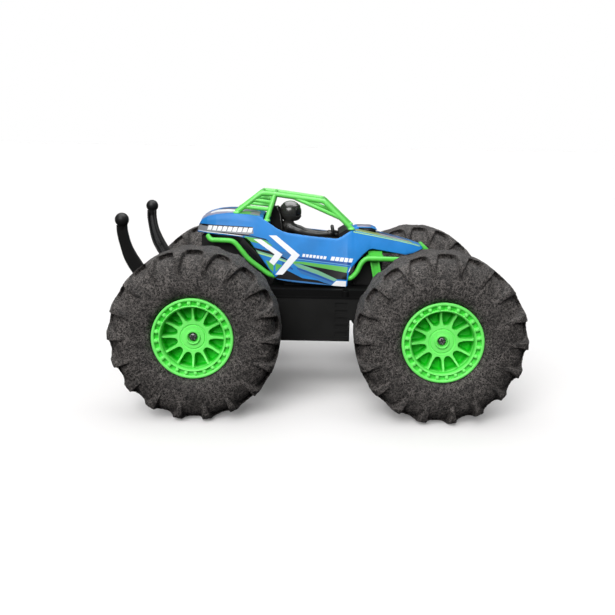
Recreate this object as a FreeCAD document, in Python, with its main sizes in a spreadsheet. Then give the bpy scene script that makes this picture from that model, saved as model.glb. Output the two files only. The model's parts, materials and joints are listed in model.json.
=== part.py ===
"""Radio-controlled stunt car: four balloon tyres, a sealed hull, a buggy shell with a roll cage.

Frame: +X forward, +Y to the car's left, +Z up. Origin on the ground, midway between the axles.
Lengths in millimetres.
"""
import math
import os

import FreeCAD
import Part
import Sketcher

V = FreeCAD.Vector

# Driving dimensions: alias, value, meaning.
DRIVING = [
    ("axle_height", 75.0, "axle above the ground"),
    ("band_radius", 75.0, "smooth crown band, level with the lugs"),
    ("crown_half", 11.2, "half width of the crown band"),
    ("carcass_radius", 69.0, "carcass beside the crown band"),
    ("tyre_width", 66.0, "widest part of the balloon"),
    ("tyre_wall", 2.8, "rubber thickness"),
    ("lug_count", 18, "paddle lugs round the tyre"),
    ("lug_width", 5.4, "lug width round the tyre"),
    ("half_base", 107.0, "half the wheelbase"),
    ("half_track", 98.5, "centreline to tyre centre"),
    ("bead_radius", 33.0, "rim barrel, outside"),
    ("barrel_inner", 30.6, "rim barrel, inside"),
    ("ring_outer", 35.3, "beadlock ring, outside"),
    ("ring_inner", 27.6, "beadlock ring, inside"),
    ("ring_face", 127.4, "centreline to the ring's outer face"),
    ("ring_depth", 3.2, "beadlock ring thickness"),
    ("bolt_circle", 30.6, "radius of the ring's bolt circle"),
    ("bolt_radius", 1.7, "bolt head"),
    ("bolt_count", 24, "bolts in the ring"),
    ("spoke_count", 12, "spokes and pockets"),
    ("window_inner", 14.2, "pocket, nearest the axle"),
    ("window_outer", 26.2, "pocket, furthest from the axle"),
    ("hub_face", 120.4, "centreline to the spoke face"),
    ("spoke_depth", 12.2, "front face to the back of the wheel disc"),
    ("pocket_depth", 10.4, "depth of the pockets between the spokes"),
    ("rim_back", 69.0, "centreline to the rim's inboard edge"),
    ("hex_across", 12.0, "drive hex across flats"),
    ("axle_radius", 3.0, "stub axle"),
    ("run_gap", 0.05, "running clearance of a shaft in its bore"),
    ("gear_module", 0.75, "tooth module"),
    ("gear_teeth", 42, "drive gear"),
    ("pinion_teeth", 12, "motor pinion"),
    ("gear_start", 35.0, "centreline to the drive gear"),
    ("gear_face", 6.0, "gear face width"),
    ("plate_start", 29.6, "centreline to the motor plate"),
    ("plate_depth", 3.0, "motor plate thickness"),
    ("motor_radius", 10.0, "motor can"),
    ("motor_flat", 7.6, "half height of the can over its flats"),
    ("motor_length", 24.0, "motor can"),
    ("shaft_radius", 1.0, "motor shaft"),
    ("hull_half", 50.0, "hull half width"),
    ("hull_wall", 2.4, "hull wall"),
    ("hull_floor", 55.5, "underside of the hull"),
    ("hull_rim", 96.0, "joint between tub and lid"),
    ("hull_end", 130.0, "hull ends, fore and aft"),
    ("step_front", 30.5, "front of the deep middle box"),
    ("step_floor", 76.0, "underside of the neck between the boxes"),
    ("lid_flange", 2.2, "lid flange thickness"),
    ("lid_top", 104.4, "top of the lid's raised deck"),
    ("shell_wall", 1.8, "body shell thickness"),
    ("cage_tube", 2.3, "roll cage tube radius"),
    ("frame_tube", 2.4, "side tube radius"),
    ("arm_ball", 6.3, "ball on a wheelie arm"),
    ("helmet_radius", 10.4, "driver's helmet"),
    ("screw_radius", 1.3, "body screws"),
    ("door_centre", -24.0, "battery door, fore and aft"),
    ("door_length", 72.0, "battery door"),
    ("door_width", 58.0, "battery door"),
    ("slide_gap", 0.3, "clearance round the switch slider"),
]

CORNERS = [
    ("front_right", 1, -1),
    ("front_left", 1, 1),
    ("rear_right", -1, -1),
    ("rear_left", -1, 1),
]
SIDES = [("right", -1), ("left", 1)]

os.makedirs("parts", exist_ok=True)
doc = FreeCAD.newDocument("stunt_car")
sheet = doc.addObject("Spreadsheet::Sheet", "size")
SIZE = {}
for row, (alias, value, meaning) in enumerate(DRIVING, start=1):
    sheet.set("A%d" % row, alias)
    sheet.set("B%d" % row, str(value))
    sheet.set("C%d" % row, meaning)
    sheet.setAlias("B%d" % row, alias)
    SIZE[alias] = value
doc.recompute()

NODES = []
counter = [0]


# ---------------------------------------------------------------- helpers

def unique(stem):
    counter[0] += 1
    return "%s_%03d" % (stem, counter[0])


def bind(obj, **formulas):
    """Tie properties to sheet cells; a double underscore stands for the dot of a sub-property."""
    for name, formula in formulas.items():
        obj.setExpression(name.replace("__", "."), formula)
    return obj


def node(obj, label):
    """Name a finished sub-part and keep it for export."""
    obj.Label = label
    NODES.append(obj)
    return obj


def wheel_place(fore, side):
    """Axle frame of a corner: -Y of the frame points outboard."""
    turn = 180 if side > 0 else 0
    return FreeCAD.Placement(V(0, 0, 0), FreeCAD.Rotation(V(0, 0, 1), turn)), fore


def put_on_axle(obj, fore, side, forward="0", up="0"):
    """Place an axle-frame piece at its corner, with an optional shift in the car's own frame."""
    obj.Placement = wheel_place(fore, side)[0]
    sign = "" if fore > 0 else "-"
    bind(obj,
         Placement__Base__x="%ssize.half_base + %s" % (sign, forward),
         Placement__Base__z="size.axle_height + %s" % up)
    return obj


def new_body(stem):
    return doc.addObject("PartDesign::Body", unique(stem))


def origin_part(body, role):
    return [item for item in body.Origin.OriginFeatures if item.Role == role][0]


def new_sketch(body, plane, shift=None):
    sketch = body.newObject("Sketcher::SketchObject", unique("sketch"))
    sketch.AttachmentSupport = (origin_part(body, plane), [""])
    sketch.MapMode = "FlatFace"
    if shift:
        sketch.setExpression("AttachmentOffset.Base.z", shift)
    return sketch


def add_outline(sketch, points):
    """Closed outline of straight lines. A point is a pair of numbers or of sheet formulas."""
    first = len(sketch.Geometry)
    numbers = [[evaluate(c) for c in point] for point in points]
    count = len(points)
    for i in range(count):
        start = V(numbers[i][0], numbers[i][1], 0)
        end = V(numbers[(i + 1) % count][0], numbers[(i + 1) % count][1], 0)
        sketch.addGeometry(Part.LineSegment(start, end), False)
    for i in range(count):
        after = first + (i + 1) % count
        sketch.addConstraint(Sketcher.Constraint("Coincident", first + i, 2, after, 1))
    for i, point in enumerate(points):
        for axis, formula in zip(("DistanceX", "DistanceY"), point):
            if isinstance(formula, str):
                value = evaluate(formula)
                tie = Sketcher.Constraint(axis, -1, 1, first + i, 1, value)
                index = sketch.addConstraint(tie)
                sketch.setExpression("Constraints[%d]" % index, formula)
    return sketch


def evaluate(formula):
    if isinstance(formula, str):
        return float(sheet.evalExpression(formula.replace("size.", "")))
    return float(formula)


def add_circle(sketch, radius, x=0.0, y=0.0):
    centre = V(evaluate(x), evaluate(y), 0)
    index = sketch.addGeometry(Part.Circle(centre, V(0, 0, 1), evaluate(radius)), False)
    ring = sketch.addConstraint(Sketcher.Constraint("Radius", index, evaluate(radius)))
    sketch.setExpression("Constraints[%d]" % ring, radius)
    if x == 0.0 and y == 0.0:
        sketch.addConstraint(Sketcher.Constraint("Coincident", index, 3, -1, 1))
        return sketch
    for axis, formula in (("DistanceX", x), ("DistanceY", y)):
        tie = sketch.addConstraint(Sketcher.Constraint(axis, -1, 1, index, 3, evaluate(formula)))
        if isinstance(formula, str):
            sketch.setExpression("Constraints[%d]" % tie, formula)
    return sketch


def revolve(body, sketch, axis="V_Axis", kind="PartDesign::Revolution"):
    feature = body.newObject(kind, unique("turn"))
    feature.Profile = (sketch, [""])
    feature.ReferenceAxis = (sketch, [axis])
    feature.Angle = 360
    return feature


def pad(body, sketch, length, midplane=False, kind="PartDesign::Pad", reverse=False):
    feature = body.newObject(kind, unique("pad"))
    feature.Profile = (sketch, [""])
    feature.setExpression("Length", length)
    if midplane:
        feature.SideType = "Symmetric"
    feature.Reversed = reverse
    return feature


def pocket(body, sketch, length, midplane=False, reverse=False):
    return pad(body, sketch, length, midplane, "PartDesign::Pocket", reverse)


def polar(body, feature, count, axis="Y_Axis"):
    pattern = body.newObject("PartDesign::PolarPattern", unique("ring"))
    pattern.Originals = [feature]
    pattern.Axis = (origin_part(body, axis), [""])
    pattern.Angle = 360
    pattern.setExpression("Occurrences", count)
    body.Tip = pattern
    return pattern


def box(x0, x1, y0, y1, z0, z1):
    """Part box between limits, each a number or a sheet formula."""
    obj = doc.addObject("Part::Box", unique("box"))
    for size_name, place, low, high in (("Length", "x", x0, x1), ("Width", "y", y0, y1),
                                        ("Height", "z", z0, z1)):
        obj.setExpression(size_name, "(%s) - (%s)" % (high, low))
        obj.setExpression("Placement.Base.%s" % place, "%s" % low)
    return obj


def cylinder(radius, start, end, axis="z", centre=("0", "0")):
    """Part cylinder along a row axis, from start to end, round the centre's two other coordinates."""
    obj = doc.addObject("Part::Cylinder", unique("rod"))
    obj.setExpression("Radius", "%s" % radius)
    obj.setExpression("Height", "(%s) - (%s)" % (end, start))
    turns = {"x": (V(0, 1, 0), 90), "y": (V(1, 0, 0), -90), "z": (V(0, 0, 1), 0)}
    obj.Placement = FreeCAD.Placement(V(0, 0, 0), FreeCAD.Rotation(*turns[axis]))
    others = [name for name in "xyz" if name != axis]
    obj.setExpression("Placement.Base.%s" % axis, "%s" % start)
    for name, value in zip(others, centre):
        obj.setExpression("Placement.Base.%s" % name, "%s" % value)
    return obj


def fuse(*shapes):
    obj = doc.addObject("Part::MultiFuse", unique("fuse"))
    obj.Shapes = list(shapes)
    return obj


def cut(base, *tools):
    obj = doc.addObject("Part::Cut", unique("cut"))
    obj.Base = base
    obj.Tool = tools[0] if len(tools) == 1 else fuse(*tools)
    return obj


def common(*shapes):
    obj = doc.addObject("Part::MultiCommon", unique("common"))
    obj.Shapes = list(shapes)
    return obj


def group(*shapes):
    """Separate solids kept in one node."""
    obj = doc.addObject("Part::Compound", unique("group"))
    obj.Links = list(shapes)
    return obj


def profile(points, plane="XZ"):
    """Free sketch holding an outline, in the side view (XZ), the plan (XY) or the front view (YZ)."""
    turns = {"XZ": FreeCAD.Rotation(V(1, 0, 0), 90), "XY": FreeCAD.Rotation(),
             "YZ": FreeCAD.Rotation(V(1, 1, 1), 120)}
    sketch = doc.addObject("Sketcher::SketchObject", unique("outline"))
    sketch.Placement = FreeCAD.Placement(V(0, 0, 0), turns[plane])
    add_outline(sketch, points)
    return sketch


def inset(sketch, distance):
    """The same outline, moved inwards by a sheet formula."""
    obj = doc.addObject("Part::Offset2D", unique("inset"))
    obj.Source = sketch
    obj.setExpression("Value", "-(%s)" % distance)
    obj.Join = 2
    return obj


def extrude(outline, plane, low, high):
    """Solid between two stations along the outline's normal row axis."""
    normals = {"XZ": V(0, 1, 0), "XY": V(0, 0, 1), "YZ": V(1, 0, 0)}
    names = {"XZ": "y", "XY": "z", "YZ": "x"}
    obj = doc.addObject("Part::Extrusion", unique("prism"))
    obj.Base = outline
    obj.DirMode = "Custom"
    obj.Dir = normals[plane]
    obj.Solid = True
    obj.setExpression("LengthFwd", "(%s) - (%s)" % (high, low))
    obj.setExpression("Placement.Base.%s" % names[plane], "%s" % low)
    return obj


def tube(points, radius):
    """Round tube along straight runs, mitred at the corners."""
    path = doc.addObject("Part::Polygon", unique("path"))
    path.Nodes = [V(*p) for p in points]
    path.Close = False
    ring = doc.addObject("Part::Circle", unique("ring"))
    ring.setExpression("Radius", radius)
    along = V(*points[1]) - V(*points[0])
    ring.Placement = FreeCAD.Placement(V(*points[0]), FreeCAD.Rotation(V(0, 0, 1), along))
    sweep = doc.addObject("Part::Sweep", unique("tube"))
    sweep.Sections = [ring]
    sweep.Spine = (path, ["Edge%d" % (i + 1) for i in range(len(points) - 1)])
    sweep.Solid = True
    sweep.Frenet = False
    sweep.Transition = "Right corner"
    return sweep


def mirrored(points, side):
    """Copy of a right-hand path (y negative) for the given side."""
    return [(x, y if side < 0 else -y, z) for x, y, z in points]


# ---------------------------------------------------------------- wheels

def make_tyre(name, fore, side):
    body = new_body("tyre")
    section = new_sketch(body, "XY_Plane", None)
    centre = evaluate("size.half_track")
    half = evaluate("size.tyre_width") / 2
    wall = evaluate("size.tyre_wall")
    bead = evaluate("size.bead_radius")
    band = evaluate("size.band_radius")
    crown = evaluate("size.crown_half")
    carcass = evaluate("size.carcass_radius")
    bead_half = half - 7.5
    ring = evaluate("size.ring_outer") + 0.3
    outer = [(bead, bead_half), (ring, bead_half), (ring + 0.6, half - 3.6), (bead + 9, half - 1.2),
             (bead + 17, half), (carcass - 12.6, half - 0.5), (carcass - 8, half - 2.4),
             (carcass - 4.4, half - 5.4), (carcass - 1.8, half - 9.6), (carcass - 0.4, crown + 6.8),
             (carcass, crown + 0.8), (band - 1, crown), (band, crown - 1.7)]
    inner = [(band - wall, crown - 3), (carcass - wall, crown - 1.6), (carcass - wall - 0.6, crown + 6.8),
             (carcass - 6, half - 9.5), (carcass - 10.6, half - 4.6), (bead + 17, half - wall),
             (bead + 9, half - 1.4 - wall), (bead, bead_half - wall)]
    loop = [(r, -centre - y) for r, y in outer]
    loop += [(r, -centre + y) for r, y in reversed(outer)]
    loop += [(r, -centre + y) for r, y in reversed(inner)]
    loop += [(r, -centre - y) for r, y in inner]
    add_outline(section, loop)
    revolve(body, section)
    lug = new_sketch(body, "XY_Plane", None)
    rise = [(crown - 0.5, band - 0.4), (crown + 6.8, band - 0.5), (half - 11, band - 1.2),
            (half - 6.6, band - 2.9), (half - 3, band - 5.9), (half - 0.6, band - 9.9),
            (half - 0.1, band - 13.7), (half - 0.5, carcass - 11.5)]
    root = [(half - 1.6, carcass - 12.5), (half - 4.4, carcass - 8), (half - 7.5, carcass - 4.8),
            (half - 11.5, carcass - 2.6), (crown + 0.8, carcass - 1.5), (crown - 0.5, carcass - 1.5)]
    loop = [(r, -centre - y) for y, r in rise + root]
    loop += [(r, -centre + y) for y, r in reversed(rise + root)]
    add_outline(lug, loop)
    block = pad(body, lug, "size.lug_width", midplane=True)
    polar(body, block, "size.lug_count")
    put_on_axle(body, fore, side)
    return node(body, "tyre_" + name)


def make_rim(name, fore, side):
    body = new_body("rim")
    section = new_sketch(body, "XY_Plane", None)
    back = "-size.rim_back"
    face = "-size.hub_face"
    seat = "-(size.ring_face - size.ring_depth)"
    disc = "-(size.hub_face - size.spoke_depth)"
    add_outline(section, [
        ("0.01", face), ("size.barrel_inner", face), ("size.barrel_inner", seat),
        ("size.bead_radius", seat), ("size.bead_radius", back + " - 3"),
        ("size.ring_outer", back + " - 2"), ("size.ring_outer", back), ("size.barrel_inner", back),
        ("size.barrel_inner", disc), ("9.5", disc), ("9.5", "-97.5"), ("0.01", "-97.5")])
    revolve(body, section)
    boss = new_sketch(body, "XZ_Plane", "size.hub_face - 0.5")
    add_circle(boss, "5.8")
    pad(body, boss, "1.7")
    window = new_sketch(body, "XZ_Plane", "size.hub_face + 1")
    low = "size.window_inner"
    high = "size.window_outer"
    add_outline(window, [("-1.6", low), ("1.6", low), ("2.9", low + " + 3"), ("5.1", high + " - 1.5"),
                         ("3.9", high), ("-3.9", high), ("-5.1", high + " - 1.5"),
                         ("-2.9", low + " + 3")])
    window.AttachmentOffset = FreeCAD.Placement(V(0, 0, 0), FreeCAD.Rotation(V(0, 0, 1), 15))
    window.setExpression("AttachmentOffset.Base.z", "size.hub_face + 1")
    gap = pocket(body, window, "size.pocket_depth + 1")
    polar(body, gap, "size.spoke_count")
    bore = new_sketch(body, "XZ_Plane", "size.hub_face + 3")
    add_circle(bore, "1.6")
    pocket(body, bore, "20")
    seat_bore = new_sketch(body, "XZ_Plane", "size.hub_face + 3")
    add_circle(seat_bore, "4.4")
    pocket(body, seat_bore, "4.5")
    socket = new_sketch(body, "XZ_Plane", "97")
    hexagon(socket, "size.hex_across + 0.2")
    pocket(body, socket, "9.2", reverse=True)
    put_on_axle(body, fore, side)
    return node(body, "rim_" + name)


def hexagon(sketch, across):
    corner = "(%s) / sqrt(3)" % across
    points = []
    for k in range(6):
        points.append(("%s * cos(%d deg)" % (corner, 60 * k), "%s * sin(%d deg)" % (corner, 60 * k)))
    return add_outline(sketch, points)


def make_ring(name, fore, side):
    body = new_body("ring")
    section = new_sketch(body, "XY_Plane", None)
    front = "-size.ring_face"
    back = "-(size.ring_face - size.ring_depth) - 0.05"
    add_outline(section, [
        ("size.ring_inner", front + " + 0.6"), ("size.ring_inner + 0.6", front),
        ("size.ring_outer - 0.8", front), ("size.ring_outer", front + " + 0.8"),
        ("size.ring_outer", back), ("size.ring_inner", back)])
    revolve(body, section)
    head = new_sketch(body, "XZ_Plane", "size.ring_face - 0.5")
    add_circle(head, "size.bolt_radius", "0", "size.bolt_circle")
    bolt = pad(body, head, "1.1")
    polar(body, bolt, "size.bolt_count")
    put_on_axle(body, fore, side)
    return node(body, "beadlock_ring_" + name)


def make_wheel_screw(name, fore, side):
    body = new_body("screw")
    section = new_sketch(body, "XY_Plane", None)
    seat = "-(size.hub_face - 1.5)"
    top = "-(size.hub_face + 0.9)"
    add_outline(section, [("0.01", top), ("2.2", top), ("3.4", seat + " - 0.9"), ("3.4", seat),
                          ("1.5", seat), ("1.5", "-99"), ("0.01", "-99")])
    revolve(body, section)
    slot = new_sketch(body, "XZ_Plane", "size.hub_face + 2")
    add_outline(slot, [("-0.4", "-1.6"), ("0.4", "-1.6"), ("0.4", "1.6"), ("-0.4", "1.6")])
    pocket(body, slot, "2.2")
    cross = new_sketch(body, "XZ_Plane", "size.hub_face + 2")
    add_outline(cross, [("-1.6", "-0.4"), ("1.6", "-0.4"), ("1.6", "0.4"), ("-1.6", "0.4")])
    pocket(body, cross, "2.2")
    put_on_axle(body, fore, side)
    return node(body, "wheel_screw_" + name)


def make_axle(name, fore, side):
    body = new_body("axle")
    section = new_sketch(body, "XY_Plane", None)
    add_outline(section, [("0.01", "-28"), ("size.axle_radius - 0.5", "-28"),
                          ("size.axle_radius", "-28.5"), ("size.axle_radius", "-104"),
                          ("0.01", "-104")])
    revolve(body, section)
    drive = new_sketch(body, "XZ_Plane", "98")
    hexagon(drive, "size.hex_across")
    pad(body, drive, "8")
    bore = new_sketch(body, "XZ_Plane", "107")
    add_circle(bore, "1.55")
    pocket(body, bore, "10")
    put_on_axle(body, fore, side)
    return node(body, "stub_axle_" + name)


def tooth_outline(teeth, phase):
    """One involute tooth centred on the phase angle, from inside the root circle to the tip."""
    module = SIZE["gear_module"]
    pressure = math.radians(25)
    pitch = module * teeth / 2
    base = pitch * math.cos(pressure)
    root = pitch - 1.1 * module
    tip = pitch + 0.8 * module
    backlash = 0.09
    half_angle = (math.pi * module / 2 - backlash) / (2 * pitch)
    involute_at_pitch = math.tan(pressure) - pressure
    flank = []
    for step in range(5):
        radius = max(base, root) + (tip - max(base, root)) * step / 4
        roll = math.acos(min(1.0, base / radius))
        angle = half_angle + involute_at_pitch - (math.tan(roll) - roll)
        flank.append((radius, angle))
    flank.insert(0, (root - 0.4, flank[0][1]))
    left = [(r * math.sin(phase + a), r * math.cos(phase + a)) for r, a in flank]
    right = [(r * math.sin(phase - a), r * math.cos(phase - a)) for r, a in reversed(flank)]
    return left + right


def make_gear(stem, teeth_cell, phase_degrees, start, face, bore):
    """Spur gear in the axle frame, its first tooth at the phase angle from +Z towards +X."""
    teeth = int(SIZE[teeth_cell])
    body = new_body(stem)
    blank = new_sketch(body, "XZ_Plane", start)
    add_circle(blank, "size.gear_module * (size.%s / 2 - 1.1)" % teeth_cell)
    pad(body, blank, face)
    tooth = new_sketch(body, "XZ_Plane", start)
    add_outline(tooth, tooth_outline(teeth, math.radians(phase_degrees)))
    feature = pad(body, tooth, face)
    polar(body, feature, "size." + teeth_cell)
    if bore:
        hole = new_sketch(body, "XZ_Plane", "(%s) - 1" % start)
        add_circle(hole, bore)
        pocket(body, hole, "(%s) + 2" % face, reverse=True)
    return body


CENTRE_DISTANCE = "size.gear_module * (size.gear_teeth + size.pinion_teeth) / 2"


def make_drive_gear(name, fore, side):
    body = make_gear("gear", "gear_teeth", 90, "size.gear_start", "size.gear_face",
                     "size.axle_radius + 0.02")
    hub = new_sketch(body, "XZ_Plane", "size.gear_start + size.gear_face - 0.5")
    add_circle(hub, "5.4")
    add_circle(hub, "size.axle_radius + 0.02")
    pad(body, hub, "3")
    put_on_axle(body, fore, side)
    return node(body, "drive_gear_" + name)


def make_pinion(name, fore, side):
    half_tooth = 180.0 / SIZE["pinion_teeth"]
    body = make_gear("pinion", "pinion_teeth", 90 + half_tooth, "size.gear_start - 0.5",
                     "size.gear_face + 1", None)
    shaft = new_sketch(body, "XZ_Plane", "12")
    add_circle(shaft, "size.shaft_radius")
    pad(body, shaft, "size.gear_start + size.gear_face - 12")
    put_on_axle(body, fore, side, forward=inboard_shift(fore))
    return node(body, "pinion_" + name)


def inboard_shift(fore):
    """Distance from the axle to the motor, towards the middle of the car."""
    return "%s%s" % ("-" if fore > 0 else "", CENTRE_DISTANCE)


def make_motor(fore, side):
    body = new_body("motor")
    can = new_sketch(body, "XZ_Plane", "size.plate_start - size.motor_length - 0.1")
    add_circle(can, "size.motor_radius")
    pad(body, can, "size.motor_length")
    for up in (1, -1):
        flat = new_sketch(body, "XZ_Plane", "size.plate_start + 1")
        low = "%d * size.motor_flat" % up
        high = "%d * 12" % up
        add_outline(flat, [("-12", low), ("12", low), ("12", high), ("-12", high)])
        pocket(body, flat, "size.motor_length + 4")
    bore = new_sketch(body, "XZ_Plane", "size.plate_start + 1")
    add_circle(bore, "size.shaft_radius + size.run_gap")
    pocket(body, bore, "size.plate_start - 9")
    return put_on_axle(body, fore, side, forward=inboard_shift(fore))


def make_corner(name, fore, side):
    make_tyre(name, fore, side)
    make_rim(name, fore, side)
    make_ring(name, fore, side)
    make_wheel_screw(name, fore, side)
    make_axle(name, fore, side)
    make_drive_gear(name, fore, side)
    make_pinion(name, fore, side)


# ---------------------------------------------------------------- hull

AXLE_STATIONS = ("size.half_base", "-size.half_base")
LID_SCREWS = [(x, y) for x in ("-size.hull_end + 4.6", "size.step_front - 4.6", "size.hull_end - 4.6")
              for y in ("size.hull_half - 4.6", "-size.hull_half + 4.6")]
ARM_LEAN = 8.97  # degrees
ARM_SCREW_HEIGHTS = (78.0, 92.0)
DOOR_BACK = "size.door_centre - size.door_length / 2"
DOOR_FRONT = "size.door_centre + size.door_length / 2"
DOOR_SCREWS = (DOOR_BACK + " + 2.4", DOOR_FRONT + " - 2.4")


def hull_outline(margin):
    """Side outline of the tub: a deep box amidships and aft, a neck, and a deep box at the nose."""
    return [("-size.hull_end", "size.hull_floor + 6"), ("-size.hull_end + 8", "size.hull_floor"),
            ("size.step_front", "size.hull_floor"), ("size.step_front", "size.step_floor"),
            ("66", "size.step_floor"), ("72", "size.hull_floor"),
            ("size.hull_end - 6", "size.hull_floor"), ("size.hull_end", "size.hull_floor + 6"),
            ("size.hull_end", "size.hull_rim + %s" % margin),
            ("-size.hull_end", "size.hull_rim + %s" % margin)]


def make_hull():
    skin = profile(hull_outline("0"))
    cavity = inset(profile(hull_outline("size.hull_wall + 1")), "size.hull_wall")
    outside = extrude(skin, "XZ", "-size.hull_half", "size.hull_half")
    inside = extrude(cavity, "XZ", "-size.hull_half + size.hull_wall",
                     "size.hull_half - size.hull_wall")
    shell = cut(outside, inside)
    posts = []
    tools = []
    for x, y in LID_SCREWS:
        posts.append(cylinder("3.2", "size.hull_floor + 5", "size.hull_rim", "z", (x, y)))
        tools.append(cylinder("size.screw_radius", "size.hull_rim - 14", "size.hull_rim + 1", "z", (x, y)))
    for y in (-41, 41):
        for z in ARM_SCREW_HEIGHTS:
            posts.append(cylinder("3", "-size.hull_end + 1", "-size.hull_end + 6", "x", (y, z)))
            tools.append(cylinder("size.screw_radius", "-size.hull_end - 1", "-size.hull_end + 5", "x",
                                  (y, z)))
    frame = box(DOOR_BACK + " - 4", DOOR_FRONT + " + 4", "-size.door_width / 2 - 6",
                "size.door_width / 2 + 6", "size.hull_floor + 2", "size.hull_floor + 5.1")
    posts.append(frame)
    tools.append(box(DOOR_BACK + " - 0.3", DOOR_FRONT + " + 0.3", "-size.door_width / 2 - 0.3",
                     "size.door_width / 2 + 0.3", "size.hull_floor - 1", "size.hull_floor + 2.6"))
    tools.append(box(DOOR_BACK + " + 5", DOOR_FRONT + " - 5", "-size.door_width / 2 + 5",
                     "size.door_width / 2 - 5", "size.hull_floor", "size.hull_floor + 6"))
    for x in DOOR_SCREWS:
        tools.append(cylinder("size.screw_radius", "size.hull_floor", "size.hull_floor + 6", "z", (x, 0)))
    for x in AXLE_STATIONS:
        tools.append(cylinder("5.5", "-size.hull_half - 1", "size.hull_half + 1", "y",
                              (x, "size.axle_height")))
    for side in (-1, 1):
        # vented recess at the front of each flank, and the well of the flat panel behind it
        low = "-size.hull_half - 1" if side < 0 else "size.hull_half - 1.1"
        high = "-size.hull_half + 1.1" if side < 0 else "size.hull_half + 1"
        for k in range(5):
            z = 60.0 + 7.0 * k
            tools.append(box("16.5", "28.5", low, high, z, z + 4.6))
    tools.append(box("22 - 4", "22 + 4", "-3.6", "3.6", "size.hull_floor - 1",
                     "size.hull_floor + size.hull_wall + 1"))
    node(cut(fuse(shell, *posts), *tools), "hull_tub")


def make_lid():
    flange = box("-size.hull_end", "size.hull_end", "-size.hull_half", "size.hull_half",
                 "size.hull_rim + 0.1", "size.hull_rim + size.lid_flange")
    raised = box("-104", "66", "-size.hull_half + 2", "size.hull_half - 2",
                 "size.hull_rim + size.lid_flange - 0.5", "size.lid_top")
    hollow = box("-102", "64", "-size.hull_half + 4.2", "size.hull_half - 4.2",
                 "size.hull_rim - 1", "size.lid_top - 2")
    tools = [hollow]
    for x, y in LID_SCREWS:
        tools.append(cylinder("size.screw_radius + 0.15", "size.hull_rim - 1", "size.lid_top + 1", "z",
                              (x, y)))
        tools.append(cylinder("3", "size.hull_rim + size.lid_flange", "size.lid_top + 1", "z", (x, y)))
    node(cut(fuse(flange, raised, *lid_sleeves()), *tools), "hull_lid")


def lid_sleeves():
    """Screw sleeves where the middle pair of screws passes the raised deck."""
    middle = LID_SCREWS[2:4]
    return [cylinder("4.2", "size.hull_rim + 0.1", "size.lid_top - 1", "z", place) for place in middle]


def screw(x, y, seat, length, axis="z", sign=1):
    """Pan-head screw: the head stands on its seat towards +axis (or -axis), the shank goes back."""
    if axis == "z":
        centre = (x, y)
    elif axis == "x":
        centre = (y, x)
    if sign > 0:
        head = cylinder("2.4", seat, "%s + 1.4" % seat, axis, centre)
        shank = cylinder("size.screw_radius - 0.05", "%s - %s" % (seat, length), seat, axis, centre)
    else:
        head = cylinder("2.4", "%s - 1.4" % seat, seat, axis, centre)
        shank = cylinder("size.screw_radius - 0.05", seat, "%s + %s" % (seat, length), axis, centre)
    return fuse(head, shank)


def make_hull_fittings():
    screws = [screw(x, y, "size.hull_rim + size.lid_flange", "12") for x, y in LID_SCREWS]
    screws += [screw(x, 0, "size.hull_floor - 0.1", "5", "z", -1) for x in DOOR_SCREWS]
    node(group(*screws), "hull_screws")

    bushes = []
    seals = []
    for x in AXLE_STATIONS:
        for side in (-1, 1):
            wall = ("-size.hull_half", "-size.hull_half + 4") if side < 0 else \
                   ("size.hull_half - 4", "size.hull_half")
            lip = ("-size.hull_half - 2", "-size.hull_half") if side < 0 else \
                  ("size.hull_half", "size.hull_half + 2")
            rim = ("-size.hull_half - 4.4", "-size.hull_half - 2.05") if side < 0 else \
                  ("size.hull_half + 2.05", "size.hull_half + 4.4")
            centre = (x, "size.axle_height")
            outer = fuse(cylinder("5.45", wall[0], wall[1], "y", centre),
                         cylinder("7.6", lip[0], lip[1], "y", centre))
            bore = cylinder("size.axle_radius + size.run_gap", "-60" if side < 0 else "40",
                            "-40" if side < 0 else "60", "y", centre)
            bushes.append(cut(outer, bore))
            seal_bore = cylinder("size.axle_radius + size.run_gap", "-60" if side < 0 else "40",
                                 "-40" if side < 0 else "60", "y", centre)
            seals.append(cut(cylinder("6.6", rim[0], rim[1], "y", centre), seal_bore))
    node(group(*bushes), "axle_bushes")
    node(group(*seals), "shaft_seals")


def make_gear_frame(name, fore):
    """U bracket: two upright plates that carry the motors and the inner ends of the axles."""
    sign = 1 if fore > 0 else -1
    axle_x = "%d * size.half_base" % sign
    motor_x = "%d * (size.half_base - %s)" % (sign, CENTRE_DISTANCE)
    ends = ["%d * (size.half_base + 12)" % sign, "%d * (size.half_base - 33)" % sign]
    low, high = (ends[1], ends[0]) if sign > 0 else (ends[0], ends[1])
    plates = []
    for side in (-1, 1):
        near = "%d * size.plate_start" % side
        far = "%d * (size.plate_start + size.plate_depth)" % side
        y0, y1 = (far, near) if side < 0 else (near, far)
        plates.append(box(low, high, y0, y1, "60.2", "92"))
    base = box(low, high, "-size.plate_start - 1", "size.plate_start + 1", "60.2", "62.6")
    frame = fuse(plates[0], plates[1], base)
    axle_bore = cylinder("size.axle_radius + size.run_gap", "-40", "40", "y",
                         (axle_x, "size.axle_height"))
    shaft_bore = cylinder("2.2", "-40", "40", "y", (motor_x, "size.axle_height"))
    node(cut(frame, axle_bore, shaft_bore), name + "_gear_frame")
    node(group(make_motor(fore, -1), make_motor(fore, 1)), name + "_motors")


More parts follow.
